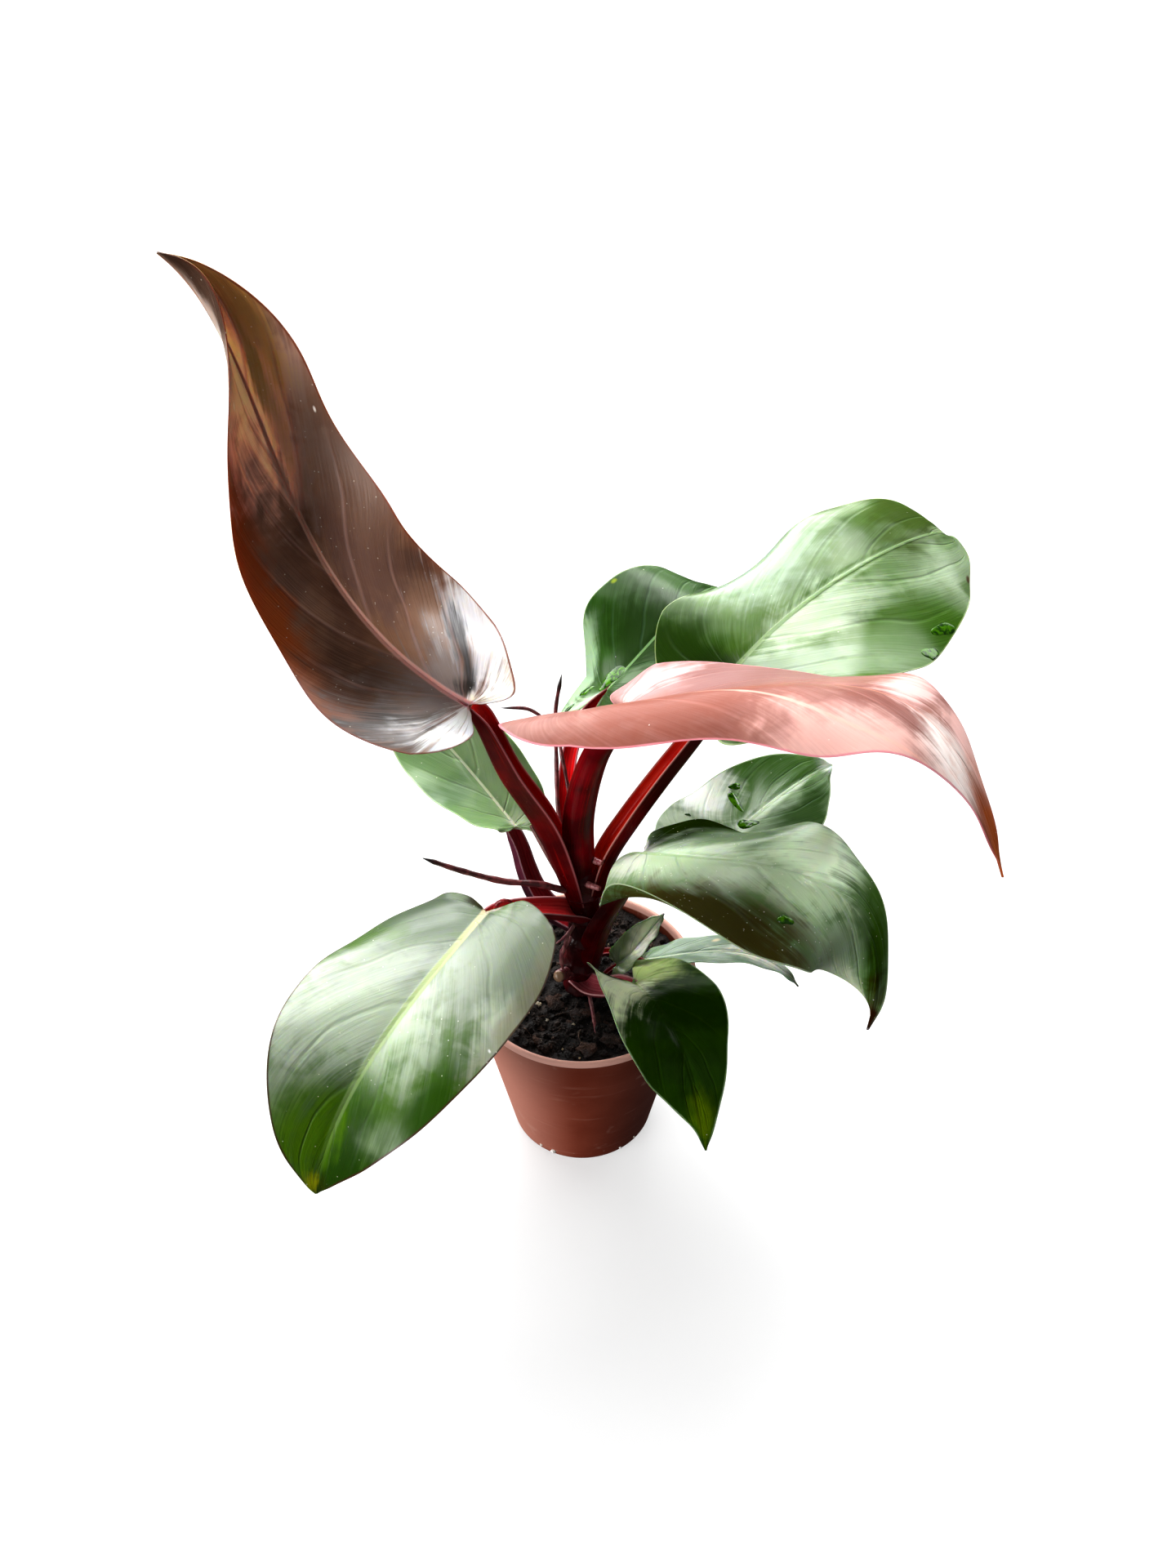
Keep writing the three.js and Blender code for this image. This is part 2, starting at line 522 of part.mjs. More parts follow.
// The soil: it fills the pot to just under the rim, with a rough top and fused grains
function soilSolid(cutters) {
  const { sides, rings } = SOIL
  const clear = POT.wall + 3 * GAP
  const wallAt = (z) => mix(POT.baseRadius, POT.rimRadius - POT.lipStep, z / POT.height) - clear
  const angleOf = (k) => 2 * PI * k / sides
  const base = POT.floor + GAP
  const loops = []
  for (let ring = 1; ring <= rings; ring++) {
    const reach = ring / rings
    loops.push(Array.from({ length: sides }, (_, k) => {
      const outer = wallAt(SOIL.level + SOIL.edgeRise) - 0.5
      const [x, y] = [reach * outer * cos(angleOf(k)), reach * outer * sin(angleOf(k))]
      return new THREE.Vector3(x, y, soilHeight(x, y, reach))
    }))
  }
  loops.push(Array.from({ length: sides }, (_, k) =>
    new THREE.Vector3(wallAt(base) * cos(angleOf(k)), wallAt(base) * sin(angleOf(k)), base)))
  const points = loops.flat()
  const index = []
  for (let ring = 0; ring < loops.length - 1; ring++) {
    for (let k = 0; k < sides; k++) {
      const [a, b] = [ring * sides + k, ring * sides + (k + 1) % sides]
      index.push(a, a + sides, b + sides, a, b + sides, b)
    }
  }
  const [centre, under] = [points.length, points.length + 1]
  points.push(new THREE.Vector3(0, 0, soilHeight(0, 0, 0)), new THREE.Vector3(0, 0, base))
  const last = (loops.length - 1) * sides
  for (let k = 0; k < sides; k++) {
    const next = (k + 1) % sides
    index.push(centre, k, next, under, last + next, last + k)
  }
  const geometry = new THREE.BufferGeometry()
  geometry.setAttribute('position', positions(points))
  geometry.setIndex(index)
  let soil = toSolid(geometry)
  const random = randomStream(SOIL.seed)
  for (let k = 0; k < SOIL.lumps; k++) {
    const size = mix(...SOIL.lumpSize, random())
    const distance = mix(16, 50, Math.sqrt(random()))
    const angle = 2 * PI * random()
    const [x, y] = [distance * cos(angle), distance * sin(angle)]
    const lump = new THREE.IcosahedronGeometry(size, 0).scale(1, 0.7 + 0.5 * random(), 0.8)
      .rotateZ(2 * PI * random()).translate(x, y, soilHeight(x, y, distance / 55) - 0.1 * size)
    soil = soil.add(toSolid(lump))
  }
  return cutAndKeepLargest(soil, cutters)
}

const plant = new THREE.Group()

function addPiece(name, geometry, { color, roughness }) {
  const mesh = new THREE.Mesh(geometry, new THREE.MeshStandardMaterial({ color, roughness, metalness: 0 }))
  mesh.name = name
  plant.add(mesh)
}

// The petioles crowd round the stem, so each is cut clear of those placed before it
const grown = [stemSolid(GAP)]
const stems = []
for (const [name, leaf] of Object.entries(LEAVES)) {
  const end = petioleEnd(leaf)
  const blade = toSolid(bladeGeometry(leaf, GAP))
  const petiole = cutAndKeepLargest(toSolid(petioleGeometry(leaf.petiole, end)), [...grown, blade])
  stems.push([`petiole_${name}`, petiole])
  grown.push(toSolid(petioleGeometry(leaf.petiole, end, GAP)))
}
const sheathEnd = DRY_SHEATH.route.at(-1)
const sheath = { ...DRY_SHEATH, route: DRY_SHEATH.route.slice(0, -1) }
stems.push(['dry_sheath', cutAndKeepLargest(toSolid(petioleGeometry(sheath, sheathEnd)), grown)])
grown.push(toSolid(petioleGeometry(sheath, sheathEnd, GAP)))
for (const [name, root] of Object.entries(AERIAL_ROOTS)) {
  stems.push([`aerial_root_${name}`, cutAndKeepLargest(toSolid(rootGeometry(root)), grown)])
  grown.push(toSolid(rootGeometry(root, GAP)))
}

addPiece('pot', potGeometry(), { color: 0x9a5a4c, roughness: 0.55 })
addPiece('soil', toGeometry(soilSolid(grown)), { color: 0x1d1613, roughness: 0.95 })
addPiece('stem', toGeometry(stemSolid()), { color: 0x2a070b, roughness: 0.4 })
for (const [name, solid] of stems) addPiece(name, toGeometry(solid), MAROON)
for (const [name, leaf] of Object.entries(LEAVES)) {
  addPiece(`blade_${name}`, bladeGeometry(leaf), leaf.finish)
}

export default plant
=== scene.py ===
"""Potted copper philodendron: eleven leaves on maroon petioles in a plastic nursery pot.

Plans are in millimetres and finished pieces in metres. +X is to the right of the front
view, +Y away from the viewer and +Z up, from the centre of the pot's base.
"""
import logging
import math
from collections.abc import Sequence
from dataclasses import dataclass, field
from enum import Enum

import bpy
import numpy as np
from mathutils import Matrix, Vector, noise


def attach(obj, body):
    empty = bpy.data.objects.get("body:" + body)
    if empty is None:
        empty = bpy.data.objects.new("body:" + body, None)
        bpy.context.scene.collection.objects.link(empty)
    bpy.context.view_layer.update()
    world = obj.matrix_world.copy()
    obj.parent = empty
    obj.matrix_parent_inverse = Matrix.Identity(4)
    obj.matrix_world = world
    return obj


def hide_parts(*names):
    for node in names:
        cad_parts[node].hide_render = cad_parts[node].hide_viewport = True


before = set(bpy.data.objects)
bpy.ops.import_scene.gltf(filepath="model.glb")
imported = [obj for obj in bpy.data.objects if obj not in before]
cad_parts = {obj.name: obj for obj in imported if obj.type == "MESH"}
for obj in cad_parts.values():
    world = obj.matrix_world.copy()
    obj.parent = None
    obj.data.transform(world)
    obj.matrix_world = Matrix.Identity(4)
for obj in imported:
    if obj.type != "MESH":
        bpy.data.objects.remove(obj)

LOG = logging.getLogger("philodendron")
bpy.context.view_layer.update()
MM = 0.001

Array = np.ndarray
Colour = tuple[float, float, float, float]
Triple = tuple[float, float, float]
Pair = tuple[float, float]
Piece = bpy.types.Object
Material = bpy.types.Material
Socket = bpy.types.NodeSocket
Shade = int | Colour | Socket


class Slot(Enum):
    """The record's material slots."""

    POT = "pot"
    SOIL = "soil"
    STEM = "stem"
    PETIOLE = "petiole"
    DRY_SHEATH = "dry_sheath"
    AERIAL_ROOT = "aerial_root"
    COPPER_LEAF = "copper_leaf"
    PINK_LEAF = "pink_leaf"
    PALE_GREEN_LEAF = "pale_green_leaf"
    GREEN_LEAF = "green_leaf"
    DARK_GREEN_LEAF = "dark_green_leaf"


def tint(code: int) -> Colour:
    """A display colour written as 0xRRGGBB, as the linear colour that shaders take.

    Args:
        code: the display colour.

    Returns:
        Red, green, blue and full opacity.
    """
    parts = [(code >> shift & 255) / 255 for shift in (16, 8, 0)]
    linear = [p / 12.92 if p <= 0.04045 else ((p + 0.055) / 1.055) ** 2.4 for p in parts]
    return (linear[0], linear[1], linear[2], 1.0)


# Shader helpers


class Value:
    """A number that changes over a surface, for arithmetic written as Python."""

    def __init__(self, paint: "Paint", socket: Socket) -> None:
        """Wraps one output socket of a paint's node tree."""
        self.paint = paint
        self.socket = socket

    def __add__(self, other: "Value | float") -> "Value":
        """This plus other."""
        return self.paint.math("ADD", self, other)

    __radd__ = __add__

    def __sub__(self, other: "Value | float") -> "Value":
        """This less other."""
        return self.paint.math("SUBTRACT", self, other)

    def __rsub__(self, other: float) -> "Value":
        """Other less this."""
        return self.paint.math("SUBTRACT", other, self)

    def __mul__(self, other: "Value | float") -> "Value":
        """This times other."""
        return self.paint.math("MULTIPLY", self, other)

    __rmul__ = __mul__

    def __truediv__(self, other: "Value | float") -> "Value":
        """This over other."""
        return self.paint.math("DIVIDE", self, other)

    def __pow__(self, other: float) -> "Value":
        """This to the power of other."""
        return self.paint.math("POWER", self, other)

    def __abs__(self) -> "Value":
        """This without its sign."""
        return self.paint.math("ABSOLUTE", self)

    def within(self, low: float, high: float) -> "Value":
        """A smooth step from 0 at low to 1 at high, or down where low is the greater."""
        made = self.paint.node(
            "ShaderNodeMapRange", {"interpolation_type": "SMOOTHSTEP"},
            {"Value": self, "From Min": low, "From Max": high})
        return Value(self.paint, made.outputs["Result"])


class Paint:
    """The node tree of one material."""

    def __init__(self, name: str) -> None:
        """Starts an empty material of that name."""
        self.material = bpy.data.materials.new(name)
        self.material.use_nodes = True
        self.tree = self.material.node_tree
        self.tree.nodes.clear()

    def node(self, kind: str, settings: dict | None = None, sockets: dict | None = None) -> bpy.types.Node:
        """Adds a node, with its settings first and its sockets after them.

        Args:
            kind: the node's type.
            settings: values of the node's own properties.
            sockets: values or links, by the input's name or number.

        Returns:
            The new node.
        """
        made = self.tree.nodes.new(kind)
        for name, value in (settings or {}).items():
            setattr(made, name, value)
        for key, value in (sockets or {}).items():
            value = value.socket if isinstance(value, Value) else value
            if isinstance(value, Socket):
                self.tree.links.new(value, made.inputs[key])
            else:
                made.inputs[key].default_value = value
        return made

    def math(self, operation: str, *values: Value | float) -> Value:
        """The result of one Math node."""
        made = self.node("ShaderNodeMath", {"operation": operation}, dict(enumerate(values)))
        return Value(self, made.outputs[0])

    def mix(self, share: Value | float, first: Shade, second: Shade) -> Socket:
        """Blends two colours.

        Args:
            share: how much of the second colour shows.
            first: the colour below, as 0xRRGGBB, a linear colour or a socket.
            second: the colour above, written in the same ways.

        Returns:
            The blended colour's socket.
        """
        first, second = (tint(shade) if isinstance(shade, int) else shade for shade in (first, second))
        made = self.node("ShaderNodeMix", {"data_type": "RGBA"}, {0: share, 6: first, 7: second})
        return made.outputs[2]

    def layered(self, colour: Shade, *layers: tuple[Value | float, Shade]) -> Socket:
        """Lays more colours over a colour, each with its share."""
        for share, above in layers:
            colour = self.mix(share, colour, above)
        return colour

    def vector(self, *parts: Value | float) -> Socket:
        """A vector made of three numbers."""
        return self.node("ShaderNodeCombineXYZ", None, dict(enumerate(parts))).outputs[0]

    def parts(self, vector: Socket) -> list[Value]:
        """The three numbers of a vector."""
        made = self.node("ShaderNodeSeparateXYZ", None, {0: vector})
        return [Value(self, output) for output in made.outputs]

    def uv(self) -> list[Value]:
        """The two numbers of the piece's own UV map."""
        return self.parts(self.node("ShaderNodeTexCoord").outputs["UV"])[:2]

    def place(self) -> Socket:
        """Object coordinates, in metres."""
        return self.node("ShaderNodeTexCoord").outputs["Object"]

    def attribute(self, name: str) -> list[Value]:
        """The three numbers of a vector kept on the mesh."""
        return self.parts(self.node("ShaderNodeAttribute", {"attribute_name": name}).outputs["Vector"])

    def cloud(self, where: Socket, scale: float, detail: float = 2.0, bend: float = 0.0) -> Value:
        """Soft noise, about 0.3 to 0.7.

        Args:
            where: the vector that it is read at.
            scale: cells in one unit of that vector.
            detail: finer layers.
            bend: distortion.

        Returns:
            The noise.
        """
        made = self.node("ShaderNodeTexNoise", None, {
            "Vector": where, "Scale": scale, "Detail": detail, "Distortion": bend})
        return Value(self, made.outputs[0])

    def dots(self, where: Socket, scale: float, size: float, share: float) -> Value:
        """A mask of round dots.

        Args:
            where: the vector that they are placed in.
            scale: cells in one unit of that vector.
            size: a dot's reach as a share of a cell.
            share: the share of the cells that hold one.

        Returns:
            1 in a dot and 0 elsewhere.
        """
        made = self.node("ShaderNodeTexVoronoi", None, {"Vector": where, "Scale": scale})
        chance = self.parts(made.outputs["Color"])[0]
        near = Value(self, made.outputs["Distance"]).within(size, size * 0.5)
        return near * self.math("LESS_THAN", chance, share)

    def surface(self, base: Colour | Socket, roughness: Value | float, height: Value | None = None,
                depth: float = 0.0005, **constants: Value | float | Triple) -> Material:
        """Closes the tree with its shader.

        Args:
            base: the colour or its socket.
            roughness: how matt the surface is.
            height: relief from 0 to 1.
            depth: what a height of 1 stands for, in metres.
            constants: values of other shader sockets, with _ for a space.

        Returns:
            The finished material.
        """
        sockets = {"Base Color": base, "Roughness": roughness}
        sockets.update({name.replace("_", " "): value for name, value in constants.items()})
        if height is not None:
            relief = self.node("ShaderNodeBump", None, {"Distance": depth, "Height": height, "Strength": 1.0})
            sockets["Normal"] = relief.outputs[0]
        shader = self.node("ShaderNodeBsdfPrincipled", None, sockets)
        self.node("ShaderNodeOutputMaterial", None, {"Surface": shader.outputs[0]})
        return self.material


# Mesh helpers


def deselect_all() -> None:
    """Leaves nothing selected and nothing active."""
    for chosen in list(bpy.context.selected_objects):
        chosen.select_set(False)
    bpy.context.view_layer.objects.active = None


def read_corners(piece: Piece) -> Array:
    """The mesh's corners as rows of x, y and z."""
    found = np.zeros(len(piece.data.vertices) * 3, np.float32)
    piece.data.vertices.foreach_get("co", found)
    return found.reshape(-1, 3).astype(float)


def write_corners(piece: Piece, corners: Array) -> None:
    """Moves the mesh's corners to rows of x, y and z."""
    piece.data.vertices.foreach_set("co", corners.astype(np.float32).ravel())
    piece.data.update()


def keep_attribute(piece: Piece, name: str, values: Array) -> None:
    """Keeps a vector for each corner, for a material to read.

    Args:
        piece: the mesh's object.
        name: the attribute's name.
        values: one row of three numbers for each corner.
    """
    made = piece.data.attributes.new(name, "FLOAT_VECTOR", "POINT")
    made.data.foreach_set("vector", values.astype(np.float32).ravel())


def write_uv(piece: Piece, across: Array, along: Array) -> None:
    """Sets the UV map from two numbers for each corner of the mesh.

    Args:
        piece: the mesh's object.
        across: the first number.
        along: the second number.
    """
    loops = np.zeros(len(piece.data.loops), np.int32)
    piece.data.loops.foreach_get("vertex_index", loops)
    layer = piece.data.uv_layers.active
    layer.data.foreach_set("uv", np.stack([across[loops], along[loops]], 1).astype(np.float32).ravel())


def grid_sheet(name: str, columns: int, rows: int) -> tuple[Piece, Array, Array]:
    """Adds a flat grid.

    Args:
        name: the piece's name.
        columns: cells across.
        rows: cells along.

    Returns:
        The sheet, and each corner's place across and along, from 0 to 1.
    """
    deselect_all()
    bpy.ops.mesh.primitive_grid_add(x_subdivisions=columns, y_subdivisions=rows, size=1.0)
    sheet = bpy.context.active_object
    sheet.name = sheet.data.name = name
    flat = read_corners(sheet) + 0.5
    return sheet, flat[:, 0], flat[:, 1]


def apply_modifier(piece: Piece, kind: str, **settings: object) -> None:
    """Adds a modifier to the active piece and applies it.

    Args:
        piece: the active object.
        kind: the modifier's type.
        settings: its settings.
    """
    made = piece.modifiers.new(kind.title(), kind)
    for name, value in settings.items():
        setattr(made, name, value)
    bpy.ops.object.modifier_apply(modifier=made.name)


def smooth(piece: Piece, degrees: float = 50.0) -> None:
    """Shades the piece smooth, but for edges sharper than that."""
    deselect_all()
    piece.select_set(True)
    bpy.context.view_layer.objects.active = piece
    bpy.ops.object.shade_smooth_by_angle(angle=math.radians(degrees))


def close_tube(merge: float = 1e-6) -> None:
    """Welds the active piece's seam, fills its ends and turns its faces outwards.

    Args:
        merge: the distance under which corners are welded, in metres.
    """
    mesh = bpy.ops.mesh
    steps = ((mesh.remove_doubles, {"threshold": merge}), (mesh.fill_holes, {"sides": 0}),
             (mesh.normals_make_consistent, {"inside": False}))
    bpy.ops.object.mode_set(mode="EDIT")
    for step, settings in steps:
        mesh.select_all(action="SELECT")
        step(**settings)
    bpy.ops.object.mode_set(mode="OBJECT")


def join(parts: Sequence[Piece], name: str) -> Piece:
    """Joins pieces into one of that name."""
    deselect_all()
    for part in parts:
        part.select_set(True)
    bpy.context.view_layer.objects.active = parts[0]
    bpy.ops.object.join()
    parts[0].name = parts[0].data.name = name
    return parts[0]


def install(piece: Piece, slot: Slot, stands_for: Sequence[str], *materials: Material) -> None:
    """Puts a finished piece on the plant's one body.

    Args:
        piece: the piece, at the origin.
        slot: the material slot that it would take its finish from; not used.
        stands_for: the CAD nodes that it replaces.
        materials: its materials, in the order of its faces' numbers.
    """
    piece.data.materials.clear()
    for material in materials:
        piece.data.materials.append(material)
    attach(piece, "root")
    if stands_for:
        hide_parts(*stands_for)
    LOG.info("%s: %d faces", piece.name, len(piece.data.polygons))


def unit(vectors: Array) -> Array:
    """Vectors of length 1."""
    return vectors / np.maximum(np.linalg.norm(vectors, axis=-1, keepdims=True), 1e-12)


def along_blend(values: Triple, share: Array) -> Array:
    """A value given at base, middle and end, blended smoothly.

    Args:
        values: the three values.
        share: places from 0 to 1.

    Returns:
        The value at each place.
    """
    w = np.clip(share, 0, 1)
    return values[0] * (1 - w) * (1 - 2 * w) + values[1] * 4 * w * (1 - w) + values[2] * w * (2 * w - 1)


def spline(points: Array, share: Array, even: bool = False) -> Array:
    """A smooth curve through points.

    Args:
        points: rows of coordinates.
        share: places from 0 at the first point to 1 at the last.
        even: whether the knots are spaced by distance instead of evenly.

    Returns:
        A row of coordinates for each place.
    """
    full = np.vstack([2 * points[0] - points[1], points, 2 * points[-1] - points[-2]])
    step = np.clip(share, 0, 1) * (len(points) - 1)
    k = np.minimum(step.astype(int), len(points) - 2)
    w = (step - k)[:, None]
    p0, p1, p2, p3 = (full[k + n] for n in range(4))
    if even:
        gaps = [np.maximum(np.linalg.norm(b - a, axis=1, keepdims=True), 1e-6) ** 0.5
                for a, b in ((p0, p1), (p1, p2), (p2, p3))]
        m1 = ((p1 - p0) / gaps[0] - (p2 - p0) / (gaps[0] + gaps[1]) + (p2 - p1) / gaps[1]) * gaps[1]
        m2 = ((p2 - p1) / gaps[1] - (p3 - p1) / (gaps[1] + gaps[2]) + (p3 - p2) / gaps[2]) * gaps[1]
    else:
        m1, m2 = (p2 - p0) / 2, (p3 - p1) / 2
    return ((2 * w**3 - 3 * w**2 + 1) * p1 + (w**3 - 2 * w**2 + w) * m1
            + (3 * w**2 - 2 * w**3) * p2 + (w**3 - w**2) * m2)


def closed_ring(corners: Array, spots: Array) -> Array:
    """A smooth closed curve through each row of corners.

    Args:
        corners: for each row, its corners as x and y.
        spots: places around, from 0 to the number of corners.

    Returns:
        For each row, its points at those places.
    """
    full = np.concatenate([corners[:, -1:], corners, corners[:, :2]], 1)
    k = np.minimum(spots.astype(int), corners.shape[1] - 1)
    w = (spots - k)[None, :, None]
    p0, p1, p2, p3 = (full[:, k + n] for n in range(4))
    return 0.5 * (2 * p1 + (p2 - p0) * w + (2 * p0 - 5 * p1 + 4 * p2 - p3) * w**2
                  + (3 * p1 - p0 - 3 * p2 + p3) * w**3)


class Route:
    """A smooth line through points, read by its share of length."""

    SAMPLES = 600
    LOOK_AHEAD = 0.01

    def __init__(self, points: Sequence[Triple]) -> None:
        """Measures the line through those points, in millimetres."""
        self.line = spline(np.array(points, float), np.linspace(0, 1, self.SAMPLES), even=True)
        steps = np.linalg.norm(np.diff(self.line, axis=0), axis=1)
        self.run = np.concatenate([[0], np.cumsum(steps)])
        self.length = float(self.run[-1])

    def at(self, share: Array) -> Array:
        """Points at those shares of the length."""
        wanted = np.clip(share, 0, 1) * self.length
        return np.stack([np.interp(wanted, self.run, self.line[:, k]) for k in range(3)], 1)

    def heading(self, share: Array) -> Array:
        """Directions at those shares of the length."""
        ahead, behind = np.minimum(share + self.LOOK_AHEAD, 1), np.maximum(share - self.LOOK_AHEAD, 0)
        return unit(self.at(ahead) - self.at(behind))

    def frames(self, share: Array, up: Triple) -> tuple[Array, Array, Array]:
        """Points with the two directions of a section there.

        Args:
            share: places along the line, from 0 to 1.
            up: the way that the section's top looks.

        Returns:
            The points, the sideways directions and the upward directions.
        """
        heading = self.heading(share)
        up_way = np.array(up, float)
        rise = unit(up_way - (heading @ up_way)[:, None] * heading)
        return self.at(share), np.cross(rise, heading), rise


# Plans of the plant


@dataclass(frozen=True)
class PetiolePlan:
    """A channelled leaf stalk: its route, and its section at base, middle and end."""

    route: tuple[Triple, ...]
    adaxial: Triple
    half: Triple
    depth: Triple
    wing_left: Triple = (1.5, 1.5, 1)
    wing_right: Triple = (1.5, 1.5, 1)


@dataclass(frozen=True)
class LeafPlan:
    """A blade's size and bends, in millimetres and degrees at base, middle and tip."""

    width: float
    lobes: Pair
    face: Triple
    midrib: tuple[Triple, Triple, Triple, Triple]
    roll: Triple
    fold_left: Triple
    fold_right: Triple
    petiole: PetiolePlan
    curl_left: Triple = (0, 0, 0)
    curl_right: Triple = (0, 0, 0)
    wave: Triple = (0, 0, 0)
    trim_left: tuple[float, ...] = (1, 1)
    trim_right: tuple[float, ...] = (1, 1)
    lobe_lift: Pair = (0, 0)


# The outline that every blade shares: half width, place along, and where its side vein starts
OUTLINE = np.array((
    (0.10, -0.035, 0.0), (0.42, -0.115, 0.004), (0.78, -0.055, 0.02), (0.97, 0.09, 0.07), (1.0, 0.25, 0.17),
    (0.93, 0.43, 0.33), (0.75, 0.62, 0.52), (0.47, 0.79, 0.71), (0.19, 0.92, 0.88), (0.012, 1.0, 1.0)))
TIP_WIDTH = 0.9

